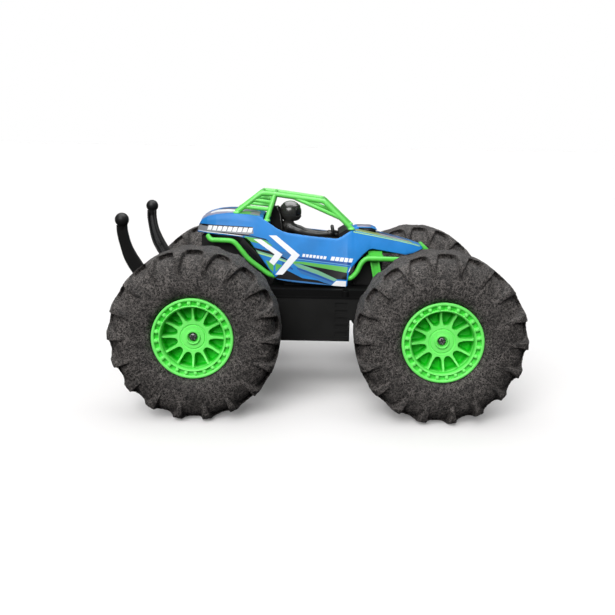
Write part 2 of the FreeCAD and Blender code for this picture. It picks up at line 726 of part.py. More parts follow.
def make_electrics():
    floor = "size.hull_floor"
    half = "size.door_width / 2"
    door = box(DOOR_BACK, DOOR_FRONT, "-" + half, half, floor, floor + " + 2")
    ribs = [box("size.door_centre + %g" % (12 * k - 24), "size.door_centre + %g" % (12 * k - 22.4), -20, 20,
                floor + " + 1.5", floor + " + 3") for k in range(5)]
    holes = [cylinder("size.screw_radius + 0.1", 50, 70, "z", (x, 0)) for x in DOOR_SCREWS]
    node(cut(fuse(door, *ribs), *holes), "battery_door")
    ring = box(DOOR_BACK, DOOR_FRONT, "-" + half, half, floor + " + 2.02", floor + " + 2.58")
    inside = box(DOOR_BACK + " + 5", DOOR_FRONT + " - 5", "-%s + 5" % half, half + " - 5", floor,
                 floor + " + 4")
    holes = [cylinder("size.screw_radius + 0.1", 50, 70, "z", (x, 0)) for x in DOOR_SCREWS]
    node(cut(ring, inside, *holes), "door_gasket")
    cells = box(DOOR_BACK + " + 6", DOOR_FRONT + " - 6", -22, 22, floor + " + 3.4", floor + " + 21.6")
    seam = box(-80, 20, -1.2, 1.2, floor + " + 20.6", floor + " + 22")
    node(cut(cells, seam), "battery_pack")
    board = box(11.6, 27.8, -30, 30, 61.4, 63.0)
    parts = [board, box(14, 24, -24, -8, 62.8, 66.0), box(15, 21, 8, 16, 62.8, 71.0),
             cylinder("3.2", 62.8, 73.0, "z", (19, 23)),
             box(18.4, 25.6, -5, 5, floor + " + 2.6", 61.6)]
    node(fuse(*parts), "circuit_board")
    knob = box("20 - 1.6", "20 + 1.6", "-3.6 + size.slide_gap", "3.6 - size.slide_gap",
               floor + " + 0.3", floor + " + 2.2")
    grip = box("20 - 1", "20 + 1", "-2.4", "2.4", floor + " - 0.9", floor + " + 1")
    node(fuse(knob, grip), "power_switch")


# ---------------------------------------------------------------- upper works

SHELL_SIDE = [
    (-116, 154.3), (-112, 165), (-97, 172), (-78.5, 175.2), (-57, 173.5), (-52, 167.6),
    (-34, 156.6), (-8, 152.8), (17.5, 150.4), (31.5, 159.8), (50, 157), (74, 152), (99.5, 143.5),
    (101, 140), (84, 134.4), (62, 139), (50, 141.2), (36.5, 129.4), (29.3, 119.7), (27.6, 105.6),
    (-26.5, 108.2), (-38.6, 110.6), (-47.6, 122.2), (-67, 150), (-97, 153.2)]
SHELL_HALF_PLAN = [
    (-116, 19), (-111, 27), (-96, 34), (-60, 38.6), (28, 38.6), (38, 35), (50, 27), (80, 20),
    (101, 12)]
SHELL_HALF_FRONT = [(104, 38.6), (112, 38.6), (150, 33.5), (166, 29.5), (171.5, 26.5), (175.5, 14)]


def both_sides(half):
    """Closed outline from one half, given as (station, half width)."""
    return [(s, -w) for s, w in half] + [(s, w) for s, w in reversed(half)]


def shell_block(wall):
    """The shell's outer block, or with a wall formula the space inside it."""
    side = profile(SHELL_SIDE, "XZ")
    plan = profile(both_sides(SHELL_HALF_PLAN), "XY")
    front = profile([(y, z) for z, y in both_sides(SHELL_HALF_FRONT)], "YZ")
    outlines = [side, plan, front]
    if wall:
        outlines = [inset(item, wall) for item in outlines]
    return common(extrude(outlines[0], "XZ", -60, 60), extrude(outlines[1], "XY", 60, 200),
                  extrude(outlines[2], "YZ", -140, 140))


def make_shell():
    hollow = cut(shell_block(None), shell_block("size.shell_wall"))
    cockpit = profile([(-49, 162.5), (-34, 153), (-8, 149.5), (17.5, 147), (30.5, 156), (30.5, 190),
                       (-49, 190)])
    mouth = extrude(cockpit, "XZ", -26.5, 26.5)
    belly = box(-36, 25.5, "-38.6 + size.shell_wall", "38.6 - size.shell_wall", 100, 113)
    node(cut(hollow, mouth, belly), "body_shell")


def make_cage():
    rail = [(-78, -24.5, 175.2), (-54.8, -20, 193.6), (-42.4, -19, 191.8), (4.5, -17.5, 185),
            (31, -22.5, 160.2)]
    pillar = [(-49.6, -25.5, 168.8), (-42.4, -19, 191.8)]
    gusset = [(-21.4, -18.3, 188.6), (20, -20.5, 170.2)]
    slats = [[(-61.8, -21.3, 186.6), (-44.6, -20.5, 184.6)],
             [(-71.4, -22.8, 180.2), (-47, -22.4, 178)]]
    tubes = []
    for side in (-1, 1):
        tubes.append(tube(mirrored(rail, side), "size.cage_tube"))
        tubes.append(tube(mirrored(pillar, side), "size.cage_tube * 0.95"))
        tubes.append(tube(mirrored(gusset, side), "size.cage_tube * 0.9"))
        for slat in slats:
            tubes.append(tube(mirrored(slat, side), "size.cage_tube * 0.85"))
    for x, y, z in (rail[1], rail[2], rail[3]):
        tubes.append(tube([(x, y, z), (x, -y, z)], "size.cage_tube * 0.9"))
    tubes.append(tube([(-78, -24.5, 176.2), (-78, 24.5, 176.2)], "size.cage_tube * 0.85"))
    node(fuse(*tubes), "roll_cage")


def make_tube_frames():
    for name, side in SIDES:
        path = [(-105, -30, 150.6), (-102, -33, 147.9), (-80.3, -34, 147.6), (-65.8, -34, 129.9),
                (-45.3, -33.6, 114.9), (22.3, -33.6, 113.6), (31, -33.6, 113),
                (36.4, -33.6, 118.5), (41, -32, 128.3), (45.6, -31, 132.2), (80, -28, 131.4)]
        node(tube(mirrored(path, side), "size.frame_tube"), "tube_frame_" + name)


def make_towers():
    top = "size.lid_top + 0.1"
    outline = [("34", top), ("62", top), ("62", "131.3"), ("40", "131.3")]
    block = extrude(profile(outline), "XZ", -17, 17)
    space = box(37, 60, -15, 15, "size.lid_top - 1", 129)
    node(cut(block, space), "front_tower")
    rear = [("-103", top), ("-44", top), ("-52", "118"), ("-76", "143"), ("-112", "151"),
            ("-112", "130")]
    rear_block = extrude(profile(rear), "XZ", -22, 22)
    rear_space = box(-97, -56, -19.5, 19.5, "size.lid_top - 1", 118)
    tail_space = box(-97, -78, -19.5, 19.5, 117, 138)
    node(cut(rear_block, rear_space, tail_space), "rear_tower")
    struts = []
    for side in (-1, 1):
        leg = [("54.5", top), ("63", top), ("57.6", "132"), ("49.1", "132")]
        well = [("56.2", "size.lid_top + 4"), ("61.3", "size.lid_top + 4"), ("56.5", "128.5"),
                ("51", "128.5")]
        low, high = (-27.5, -21.5) if side < 0 else (21.5, 27.5)
        deep_low, deep_high = (-28, -24) if side < 0 else (24, 28)
        struts.append(cut(extrude(profile(leg), "XZ", low, high),
                          extrude(profile(well), "XZ", deep_low, deep_high)))
    saddle = box(46, 62, -27.5, 27.5, 131.5, 134.6)
    pads = [box(48, 61, y0, y0 + 5, 134, 138.4) for y0 in (-23, 18)]
    node(fuse(saddle, *struts, *pads), "front_strut_frame")


def make_nose():
    scoop = profile([(34, 160.2), (37, 161.6), (51, 161.2), (57, 159.2), (57, 157.6), (42, 158.8),
                     (38, 159.4)])
    node(extrude(scoop, "XZ", -9, 9), "hood_scoop")
    bumper = profile([(100.2, 145), (102.5, 145.6), (110, 138.6), (108.6, 136), (101.8, 138.6),
                      (101.6, 141.5)])
    bar = extrude(bumper, "XZ", -13, 13)
    window = box(103.4, 107.2, -9, 9, 130, 150)
    node(cut(bar, window), "front_bumper")


def make_arms():
    """Wheelie arms: curved bars behind the rear tyres, leaning outwards, each ending in a ball."""
    for name, side in SIDES:
        centre = 57.2 * side
        spine = [(-181.6, 166), (-181.8, 159), (-176.8, 134.5), (-166.4, 117.3), (-150, 99), (-134.2, 86),
                 (-134.2, 72), (-130.2, 72), (-130.2, 98), (-143, 110), (-157.5, 125.5), (-166, 138.7),
                 (-172.2, 159), (-172.4, 166)]
        bar = extrude(profile(spine), "XZ", centre - 3.2, centre + 3.2)
        trough = profile([(-178.6, 159), (-174.2, 136), (-163.8, 118.8), (-149.5, 103.4), (-151, 108.6),
                          (-160.6, 124), (-169.4, 140), (-175.4, 159)])
        inner = centre - 3.3 * side
        low, high = sorted((inner, inner + 3.6 * side))
        channel = extrude(trough, "XZ", low, high)
        ball = doc.addObject("Part::Sphere", unique("ball"))
        bind(ball, Radius="size.arm_ball")
        ball.Placement.Base = V(-176.8, centre, 170.7)
        low, high = sorted((36.0 * side, centre))
        foot = box(-134.2, -130.2, low, high, 72, 98)
        holes = [cylinder("size.screw_radius + 0.1", -140, -125, "x", (41.0 * side, z))
                 for z in ARM_SCREW_HEIGHTS]
        neck = cylinder("3", 158, 170.7, "z", (-176.8, centre))
        blade = cut(fuse(bar, ball, neck), channel)
        lean = FreeCAD.Rotation(V(1, 0, 0), -ARM_LEAN * side)
        blade.Placement = FreeCAD.Placement(V(0, 0, 0), lean, V(0, centre, 86))
        node(cut(fuse(blade, foot), *holes), "wheelie_arm_" + name)
    screws = []
    for name, side in SIDES:
        for z in ARM_SCREW_HEIGHTS:
            screws.append(screw(str(z), str(41.0 * side), "-134.3", "7.6", "x", -1))
    node(group(*screws), "wheelie_screws")


# ---------------------------------------------------------------- cockpit

def make_cockpit():
    outer = profile([("-33", "size.lid_top + 0.1"), ("24.4", "size.lid_top + 0.1"), ("24.4", "145"),
                     ("-34", "146.5"), ("-47.5", "154"), ("-47.5", "128"), ("-33", "112.5")])
    block = extrude(outer, "XZ", -25.5, 25.5)
    space = box(-30.5, 22, -23, 23, "size.lid_top - 1", 142)
    node(cut(block, space), "cockpit_tray")

    back = profile([(-47, 154.4), (-37.2, 148.8), (-36, 158), (-39.5, 172), (-41, 177.5), (-46, 177.5),
                    (-46.5, 166)])
    seat = extrude(back, "XZ", -13, 13)
    node(seat, "seat")

    torso_outline = profile([(-36.6, 148.2), (-24, 146.9), (-20.5, 152), (-22.5, 159), (-25.5, 162.2),
                             (-32, 162.2), (-35.4, 158.6)])
    torso = extrude(torso_outline, "XZ", -9.5, 9.5)

    helmet = doc.addObject("Part::Sphere", unique("helmet"))
    bind(helmet, Radius="size.helmet_radius")
    helmet.Placement.Base = V(-27.4, 0, 173.2)
    node(helmet, "driver_helmet")

    limbs = []
    for side in (-1, 1):
        reach = [(-29, 9 * side, 158), (-28, 13 * side, 158), (-14, 13 * side, 152), (7, 7 * side, 151.6)]
        limbs.append(tube(reach, "2.6"))
    node(fuse(torso, *limbs), "driver_torso")

    wheel = doc.addObject("Part::Torus", unique("wheel"))
    wheel.Radius1 = 5.0
    wheel.Radius2 = 1.2
    tilt = FreeCAD.Rotation(V(0, 1, 0), 80)
    wheel.Placement = FreeCAD.Placement(V(14.4, 0, 155.8), tilt)
    spoke = doc.addObject("Part::Cylinder", unique("spoke"))
    spoke.Radius = 4.6
    spoke.Height = 1.0
    spoke.Placement = FreeCAD.Placement(V(14, 0, 155.7), tilt)
    column = doc.addObject("Part::Cylinder", unique("column"))
    column.Radius = 1.4
    column.Height = 4.6
    column.Placement = FreeCAD.Placement(V(14.4, 0, 155.8), FreeCAD.Rotation(V(0, 1, 0), 100))
    node(fuse(wheel, spoke, column), "steering_wheel")

    dash = profile([(19.4, 145.4), (26, 145.2), (30, 149), (30.2, 157.4), (26, 158.6), (19.4, 154.6)])
    node(extrude(dash, "XZ", -24, 24), "dashboard")


for corner in CORNERS:
    make_corner(*corner)
make_hull()
make_lid()
make_hull_fittings()
make_gear_frame("front", 1)
make_gear_frame("rear", -1)
make_electrics()
make_shell()
make_cage()
make_tube_frames()
make_towers()
make_nose()
make_arms()
make_cockpit()
doc.recompute()

problems = []
for obj in doc.Objects:
    if "Invalid" in obj.State or "Error" in obj.State:
        problems.append("%s: %s" % (obj.Name, obj.State))
for obj in NODES:
    if obj.Shape.isNull() or not obj.Shape.isValid():
        problems.append("%s: shape is null or not valid" % obj.Label)
if problems:
    raise RuntimeError("; ".join(problems))
for obj in NODES:
    obj.Shape.exportStep("parts/%s.step" % obj.Label)
print("wrote %d nodes" % len(NODES))
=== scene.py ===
"""Looks of the stunt car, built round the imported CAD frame. Lengths are in millimetres until a mesh is made.
"""

import json
import math

import bmesh
import bpy
import numpy as np
from mathutils import Matrix, Vector


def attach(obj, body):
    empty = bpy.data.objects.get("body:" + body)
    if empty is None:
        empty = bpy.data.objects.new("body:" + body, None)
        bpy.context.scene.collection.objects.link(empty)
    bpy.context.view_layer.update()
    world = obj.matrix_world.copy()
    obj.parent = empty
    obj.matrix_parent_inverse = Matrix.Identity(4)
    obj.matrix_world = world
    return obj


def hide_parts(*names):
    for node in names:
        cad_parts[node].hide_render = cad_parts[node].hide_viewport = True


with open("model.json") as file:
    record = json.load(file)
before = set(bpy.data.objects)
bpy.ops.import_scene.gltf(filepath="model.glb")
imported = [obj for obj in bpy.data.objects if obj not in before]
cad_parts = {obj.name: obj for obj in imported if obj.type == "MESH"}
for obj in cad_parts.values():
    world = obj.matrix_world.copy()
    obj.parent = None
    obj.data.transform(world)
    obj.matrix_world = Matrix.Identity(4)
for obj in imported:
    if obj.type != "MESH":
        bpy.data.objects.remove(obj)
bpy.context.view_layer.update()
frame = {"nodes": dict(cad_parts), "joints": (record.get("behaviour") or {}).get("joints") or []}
NODES = frame["nodes"]
MM = 0.001
CORNERS = ("front_right", "front_left", "rear_right", "rear_left")
RNG = np.random.default_rng(7)


# ------------------------------------------------------------------ materials

class Nodes:
    """A material's node tree, with short calls for the nodes used here."""

    def __init__(self, name):
        self.material = bpy.data.materials.new(name)
        self.material.use_nodes = True
        self.tree = self.material.node_tree
        self.shader = self.tree.nodes["Principled BSDF"]
        self.coords = self.add("TexCoord").outputs["Object"]

    def add(self, kind, **values):
        """A new node. Each value goes to the input of that name, or else to the node's setting."""
        made = self.tree.nodes.new("ShaderNode" + kind)
        for key, value in values.items():
            if key in made.inputs:
                made.inputs[key].default_value = value
            else:
                setattr(made, key, value)
        return made

    def feed(self, socket, value):
        """Puts a number, a colour or another node's output into a socket."""
        if isinstance(value, (int, float)):
            socket.default_value = value
        elif isinstance(value, tuple):
            socket.default_value = (*value, 1.0)
        else:
            self.tree.links.new(value, socket)

    def noise(self, scale, detail=4.0, rough=0.55, source=None):
        made = self.add("TexNoise", Scale=scale, Detail=detail, Roughness=rough)
        self.feed(made.inputs["Vector"], self.coords if source is None else source)
        return made.outputs["Fac"]

    def remap(self, value, low, high, out_low=0.0, out_high=1.0):
        made = self.add("MapRange")
        set_inputs(made, From_Min=low, From_Max=high, To_Min=out_low, To_Max=out_high)
        self.feed(made.inputs["Value"], value)
        return made.outputs["Result"]

    def math(self, operation, a, b):
        made = self.add("Math", operation=operation)
        for socket, value in zip(made.inputs, (a, b)):
            self.feed(socket, value)
        return made.outputs["Value"]

    def mix(self, factor, a, b):
        made = self.add("Mix", data_type="RGBA")
        for socket, value in ((made.inputs["Factor"], factor), (made.inputs[6], a), (made.inputs[7], b)):
            self.feed(socket, value)
        return made.outputs[2]

    def bump(self, height, strength, distance, after=None):
        made = self.add("Bump", Strength=strength, Distance=distance)
        self.feed(made.inputs["Height"], height)
        if after is not None:
            self.feed(made.inputs["Normal"], after)
        return made.outputs["Normal"]

    def gloss(self, low, high):
        """Roughness that wanders between two values."""
        return self.remap(self.noise(90.0, 6.0, 0.65), 0.3, 0.7, low, high)

    def surface(self, color, rough, normal=None, **constants):
        """Wires up the shader and sets its constants."""
        for name, value in (("Base Color", color), ("Roughness", rough), ("Normal", normal)):
            if value is not None:
                self.feed(self.shader.inputs[name], value)
        set_inputs(self.shader, **constants)
        return self.material


def set_inputs(node, **values):
    """Sets a node's inputs, whose names are written with underscores for spaces."""
    for name, value in values.items():
        node.inputs[name.replace("_", " ")].default_value = value


def shade(color, factor):
    return tuple(min(1.0, c * factor) for c in color)


def plastic(name, color, rough=0.4, grain=0.25, coat=0.0, subsurface=0.0, wear=0.12, shine=0.5):
    """Moulded plastic: faint flow marks in the colour, a fine textured grain, uneven gloss."""
    n = Nodes(name)
    flow = n.noise(35.0, 3.0)
    tint = n.mix(n.remap(flow, 0.35, 0.65), shade(color, 1.0 - wear), shade(color, 1.0 + wear * 0.6))
    specks = n.remap(n.noise(420.0, 5.0, 0.7), 0.62, 0.8, 0.0, 0.25)
    grained = n.bump(n.noise(1400.0, 2.0), grain, 0.00012)
    n.surface(n.mix(specks, tint, shade(color, 1.25)), n.gloss(rough - 0.07, rough + 0.1),
              n.bump(flow, 0.15, 0.0004, grained),
              Specular_IOR_Level=shine, Coat_Weight=coat, Coat_Roughness=0.15)
    if subsurface:
        set_inputs(n.shader, Subsurface_Weight=subsurface, Subsurface_Radius=(0.002, 0.004, 0.001),
                   Subsurface_Scale=1.0)
    return n.material


def wheel_plastic():
    """Bright green plastic, with painted shade that darkens it down the pockets."""
    n = Nodes("green_wheel_plastic_with_painted_pocket_shade")
    flow = n.noise(40.0, 3.0)
    face = n.mix(n.remap(flow, 0.35, 0.65), (0.16, 0.80, 0.135), (0.19, 0.88, 0.16))
    # how far down the pockets a point lies, which sets the painted shade
    depth = n.add("Attribute", attribute_name="deep").outputs["Fac"]
    grained = n.bump(n.noise(1400.0, 2.0), 0.2, 0.00012, n.bump(flow, 0.15, 0.0004))
    # the dark green is painted shade for the bottoms of the pockets
    return n.surface(n.mix(depth, face, (0.006, 0.52, 0.010)), n.gloss(0.34, 0.5), grained,
                     Specular_IOR_Level=0.35)


def metal(name, color, rough=0.3):
    """Turned or plated metal with fine brushing."""
    n = Nodes(name)
    brushed = n.add("Mapping", Scale=(1.0, 8.0, 1.0))
    n.feed(brushed.inputs["Vector"], n.coords)
    lines = n.noise(900.0, 3.0, 0.6, brushed.outputs["Vector"])
    return n.surface(n.mix(n.remap(n.noise(120.0), 0.3, 0.7), shade(color, 0.8), color),
                     n.remap(lines, 0.3, 0.7, rough - 0.08, rough + 0.12), n.bump(lines, 0.12, 0.0001),
                     Metallic=1.0)


def tyre_rubber():
    """Foam rubber: a dark brown-grey skin, crackled all over, with paler scuffed ridges."""
    n = Nodes("foam_rubber")

    def creases(scale, bend, width):
        """A web of thin bright lines: where a bent noise passes through its middle value."""
        warp = n.add("TexNoise", Scale=scale * 0.6, Detail=3.0)
        n.feed(warp.inputs["Vector"], n.coords)
        bent = n.add("VectorMath", operation="MULTIPLY_ADD")
        n.feed(bent.inputs[0], warp.outputs["Color"])
        bent.inputs[1].default_value = (bend, bend, bend)
        n.feed(bent.inputs[2], n.coords)
        noise = n.noise(scale, 3.0, 0.6, bent.outputs["Vector"])
        away = n.math("ABSOLUTE", n.math("SUBTRACT", noise, 0.5), 0.0)
        return n.remap(away, 0.0, width, 1.0, 0.0)

    coarse = n.math("MULTIPLY", creases(300.0, 0.004, 0.055), 0.55)
    fine = n.math("MULTIPLY", creases(640.0, 0.0025, 0.06), 0.45)
    patch = n.remap(n.noise(70.0, 5.0, 0.65), 0.36, 0.62, 0.35, 1.0)
    lift = n.math("MULTIPLY", n.math("ADD", coarse, fine), patch)
    return n.surface(n.mix(lift, (0.0050, 0.0044, 0.0040), (0.29, 0.26, 0.243)),
                     n.remap(lift, 0.0, 0.9, 0.8, 0.5),
                     n.bump(lift, 0.8, 0.0007, n.bump(patch, 0.25, 0.0010)), Specular_IOR_Level=0.35)


GREEN = (0.095, 0.60, 0.070)
BLUE = (0.018, 0.21, 0.585)
MATERIALS = {
    "tyre": tyre_rubber(),
    "green": plastic("green_plastic", GREEN, 0.4, 0.2, subsurface=0.12, shine=0.35),
    "wheel": wheel_plastic(),
    "cage": plastic("green_cage_plastic", (0.15, 0.70, 0.12), 0.34, 0.2, subsurface=0.15, shine=0.45),
    "blue": plastic("blue_shell_plastic", BLUE, 0.4, 0.12, shine=0.22),
    "hull": plastic("black_hull_plastic", (0.0075, 0.0075, 0.0072), 0.5, 0.6, shine=0.2),
    "lid": plastic("black_lid_plastic", (0.003, 0.003, 0.003), 0.6, 0.6, shine=0.08),
    "arm": plastic("black_arm_plastic", (0.0085, 0.0085, 0.0085), 0.42, 0.5, shine=0.22),
    "black": plastic("black_cockpit_plastic", (0.008, 0.0078, 0.0076), 0.4, 0.4, shine=0.3),
    "helmet": plastic("helmet_plastic", (0.026, 0.026, 0.024), 0.24, 0.15, coat=0.25),
    "suit": plastic("driver_suit_plastic", (0.018, 0.017, 0.016), 0.36, 0.7),
    "visor": plastic("visor_plastic", (0.004, 0.004, 0.005), 0.14, 0.05, coat=0.4),
    "ink": plastic("decal_black", (0.006, 0.006, 0.007), 0.36, 0.08, wear=0.1, shine=0.25),
    "seal": plastic("black_seal_rubber", (0.01, 0.01, 0.01), 0.75, 0.8, shine=0.2),
    "steel": metal("plated_steel", (0.50, 0.49, 0.47)),
    "zinc": metal("dark_zinc_screw", (0.16, 0.165, 0.16), 0.4),
    "brass": metal("turned_brass", (0.72, 0.52, 0.24), 0.34),
    "nylon": plastic("white_nylon", (0.74, 0.73, 0.68), 0.45, 0.2),
    "wrap": plastic("battery_wrap", (0.03, 0.12, 0.5), 0.25, 0.1, coat=0.4),
    "board": plastic("circuit_board_lacquer", (0.01, 0.14, 0.04), 0.3, 0.3, coat=0.3),
}
# the other printing inks: colour, roughness, wear, shine
INKS = {
    "white": ((0.82, 0.83, 0.84), 0.34, 0.04, 0.5), "lime": ((0.10, 0.42, 0.07), 0.36, 0.08, 0.35),
    "pale_lime": ((0.36, 0.68, 0.28), 0.36, 0.06, 0.5), "teal": ((0.16, 0.40, 0.24), 0.36, 0.08, 0.35),
    "mid_blue": ((0.035, 0.16, 0.40), 0.36, 0.08, 0.3), "sky": ((0.10, 0.33, 0.62), 0.36, 0.08, 0.3),
    "lilac": ((0.27, 0.27, 0.36), 0.36, 0.08, 0.3), "olive": ((0.24, 0.30, 0.10), 0.36, 0.1, 0.3),
    "navy": ((0.012, 0.075, 0.30), 0.34, 0.08, 0.3), "grey": ((0.24, 0.25, 0.27), 0.36, 0.1, 0.5),
}
for ink, (color, rough, wear, shine) in INKS.items():
    MATERIALS[ink] = plastic("decal_" + ink, color, rough, 0.08, wear=wear, shine=shine)


# ------------------------------------------------------------------ mesh helpers

def weld(piece, distance):
    """Merges points closer than the distance, and turns every face outwards."""
    work = bmesh.new()
    work.from_mesh(piece.data)
    bmesh.ops.remove_doubles(work, verts=work.verts, dist=distance)
    bmesh.ops.recalc_face_normals(work, faces=work.faces)
    work.to_mesh(piece.data)
    work.free()


def build(name, points, faces, material, body, welded=True, replaces=(), slot=None):
    """Smooth mesh object from points in millimetres, riding on a CAD body."""
    mesh = bpy.data.meshes.new(name)
    mesh.from_pydata([tuple(p) for p in np.asarray(points, float) * MM], [], [tuple(f) for f in faces])
    mesh.update()
    mesh.polygons.foreach_set("use_smooth", [True] * len(mesh.polygons))
    mesh.materials.append(MATERIALS[material])
    piece = bpy.data.objects.new(name, mesh)
    bpy.context.scene.collection.objects.link(piece)
    if welded:
        weld(piece, 2e-6)
    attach(piece, body)
    if replaces:
        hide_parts(*replaces)
    return piece


def mark_shade_depth(piece, face, side, shallow, deep):
    """Point attribute running from 0 on the front face of a wheel to 1 at the bottom of its pockets, which
    sets how much painted shade the wheel plastic gets there.
    """
    layer = piece.data.attributes.new("deep", "FLOAT", "POINT")
    places = np.zeros(len(piece.data.vertices) * 3)
    piece.data.vertices.foreach_get("co", places)
    below = face - places[1::3] * side / MM
    layer.data.foreach_set("value", np.clip((below - shallow) / (deep - shallow), 0.0, 1.0))


def sharpen(piece, angle):
    """Breaks the smooth shading at edges steeper than the angle, in degrees."""
    work = bmesh.new()
    work.from_mesh(piece.data)
    for edge in work.edges:
        edge.smooth = len(edge.link_faces) != 2 or edge.calc_face_angle(0.0) < math.radians(angle)
    work.to_mesh(piece.data)
    work.free()


def bevel(piece, width):
    mod = piece.modifiers.new("soft_edges", "BEVEL")
    mod.width = width * MM
    mod.segments = 2
    mod.limit_method = "ANGLE"
    mod.angle_limit = math.radians(30.0)
    mod.harden_normals = False


def grid_faces(rows, columns, wrap_rows=False, wrap_columns=False):
    """Quads over a grid of points numbered row by row."""
    faces = []
    for i in range(rows if wrap_rows else rows - 1):
        here, there = i * columns, (i + 1) % rows * columns
        for j in range(columns if wrap_columns else columns - 1):
            k = (j + 1) % columns
            faces.append((here + j, here + k, there + k, there + j))
    return faces


def skin_faces(rows, columns):
    """Faces of a skin that closes round its columns, with a flat cap at each end."""
    caps = [tuple(range(columns))[::-1], tuple(range((rows - 1) * columns, rows * columns))]
    return grid_faces(rows, columns, wrap_columns=True) + caps


def smooth_curve(points, per_span, closed=False):
    """Catmull-Rom curve through the points."""
    p = np.asarray(points, float)
    n = len(p)
    spans = n if closed else n - 1
    out = []
    for i in range(spans):
        if closed:
            a, b, c, d = p[(i - 1) % n], p[i], p[(i + 1) % n], p[(i + 2) % n]
        else:
            a, b, c, d = p[max(i - 1, 0)], p[i], p[i + 1], p[min(i + 2, n - 1)]
        for k in range(per_span):
            t = k / per_span
            out.append(0.5 * ((2 * b) + (c - a) * t + (2 * a - 5 * b + 4 * c - d) * t * t
                              + (3 * b - a - 3 * c + d) * t ** 3))
    if not closed:
        out.append(p[-1])
    return np.array(out)


def rounded_path(points, radius):
    """Straight runs joined by arcs of about the given radius."""
    p = [np.array(q, float) for q in points]
    out = [p[0]]
    for before, corner, after in zip(p, p[1:], p[2:]):
        back, ahead = before - corner, after - corner
        reach = min(radius, np.linalg.norm(back) * 0.45, np.linalg.norm(ahead) * 0.45)
        start = corner + back / np.linalg.norm(back) * reach
        end = corner + ahead / np.linalg.norm(ahead) * reach
        for t in np.linspace(0, 1, 7):
            out.append((1 - t) ** 2 * start + 2 * t * (1 - t) * corner + t * t * end)
    out.append(p[-1])
    return np.array(out)


def tube_geometry(path, radius, sides=20, taper=None):
    """Points and faces of a round tube along a path, with domed ends."""
    path = np.asarray(path, float)
    tangents = np.gradient(path, axis=0)
    tangents /= np.linalg.norm(tangents, axis=1)[:, None]
    up = (0.0, 1.0, 0.0) if abs(tangents[0][2]) > 0.9 else (0.0, 0.0, 1.0)
    across = np.cross(tangents[0], up)
    stations = []
    for i, (point, ahead) in enumerate(zip(path, tangents)):
        across = across - ahead * (across @ ahead)
        across /= np.linalg.norm(across)
        size = radius * (taper(i / (len(path) - 1)) if taper else 1.0)
        stations.append((point, ahead, across, np.cross(ahead, across), size))

    def ring(station, turn=math.pi / 2, direction=0):
        """Circle at a station, or one of its end dome's circles: a turn of 0 is the dome's tip."""
        point, ahead, u, v, size = station
        centre = point + direction * 0.55 * size * math.cos(turn) * ahead
        angles = np.linspace(0, 2 * math.pi, sides, endpoint=False)
        return [centre + (u * math.cos(a) + v * math.sin(a)) * size * math.sin(turn) for a in angles]

    turns = [k * math.pi / 2 for k in (0.2, 0.5, 0.8)]
    rings = [ring(stations[0], turn, -1) for turn in turns]
    rings += [ring(station) for station in stations]
    rings += [ring(stations[-1], turn, 1) for turn in reversed(turns)]
    return np.concatenate(rings), skin_faces(len(rings), sides)


class Assembly:
    """Collects several shells of points and faces into one mesh."""

    def __init__(self):
        self.points = []
        self.faces = []

    def add(self, points, faces):
        start = len(self.points)
        self.points.extend([tuple(p) for p in points])
        self.faces.extend([tuple(i + start for i in f) for f in faces])
        return self

    def tube(self, points, radius, bend=4.0, **more):
        return self.add(*tube_geometry(rounded_path(points, bend), radius, **more))

    def lathe(self, outline, centre, axis="y", steps=48, closed=True, start=0.0):
        """Revolve (radius, along) pairs about an axis through the centre."""
        rows = []
        for r, along in outline:
            for k in range(steps):
                a = 2 * math.pi * k / steps + start
                c, s = r * math.cos(a), r * math.sin(a)
                offset = {"y": (c, along, s), "x": (along, c, s), "z": (c, s, along)}[axis]
                rows.append(np.add(centre, offset))
        faces = grid_faces(len(outline), steps, wrap_columns=True, wrap_rows=closed)
        return self.add(rows, faces)

    def box(self, low, high):
        (x0, y0, z0), (x1, y1, z1) = low, high
        p = [(x, y, z) for x in (x0, x1) for y in (y0, y1) for z in (z0, z1)]
        f = [(0, 1, 3, 2), (4, 6, 7, 5), (0, 4, 5, 1), (2, 3, 7, 6), (0, 2, 6, 4), (1, 5, 7, 3)]
        return self.add(p, f)

    def prism(self, outline, y0, y1):
        """Side-view outline (x, z) between two y stations."""
        n = len(outline)
        p = [(x, y0, z) for x, z in outline] + [(x, y1, z) for x, z in outline]
        f = [tuple(range(n))[::-1], tuple(range(n, 2 * n))]
        f += [(i, (i + 1) % n, n + (i + 1) % n, n + i) for i in range(n)]
        return self.add(p, f)

    def mirror_y(self):
        flipped = [(x, -y, z) for x, y, z in self.points]
        faces = [tuple(reversed(f)) for f in self.faces]
        count = len(self.points)
        self.points.extend(flipped)
        self.faces.extend([tuple(i + count for i in f) for f in faces])
        return self

    def make(self, name, material, body="chassis", **more):
        return build(name, self.points, self.faces, material, body, **more)


def smoothstep(low, high, x):
    t = np.clip((x - low) / (high - low), 0.0, 1.0)
    return t * t * (3 - 2 * t)


# ------------------------------------------------------------------ wheels

# wheel centres, and their side: 1 on the left, -1 on the right
WHEELS = {}
for joint in frame["joints"]:
    if joint["child"].startswith("wheel_"):
        centre = [c / MM for c in joint["pos_m"]]
        WHEELS[joint["child"][len("wheel_"):]] = (*centre, 1 if centre[1] > 0 else -1)

LUGS = 18
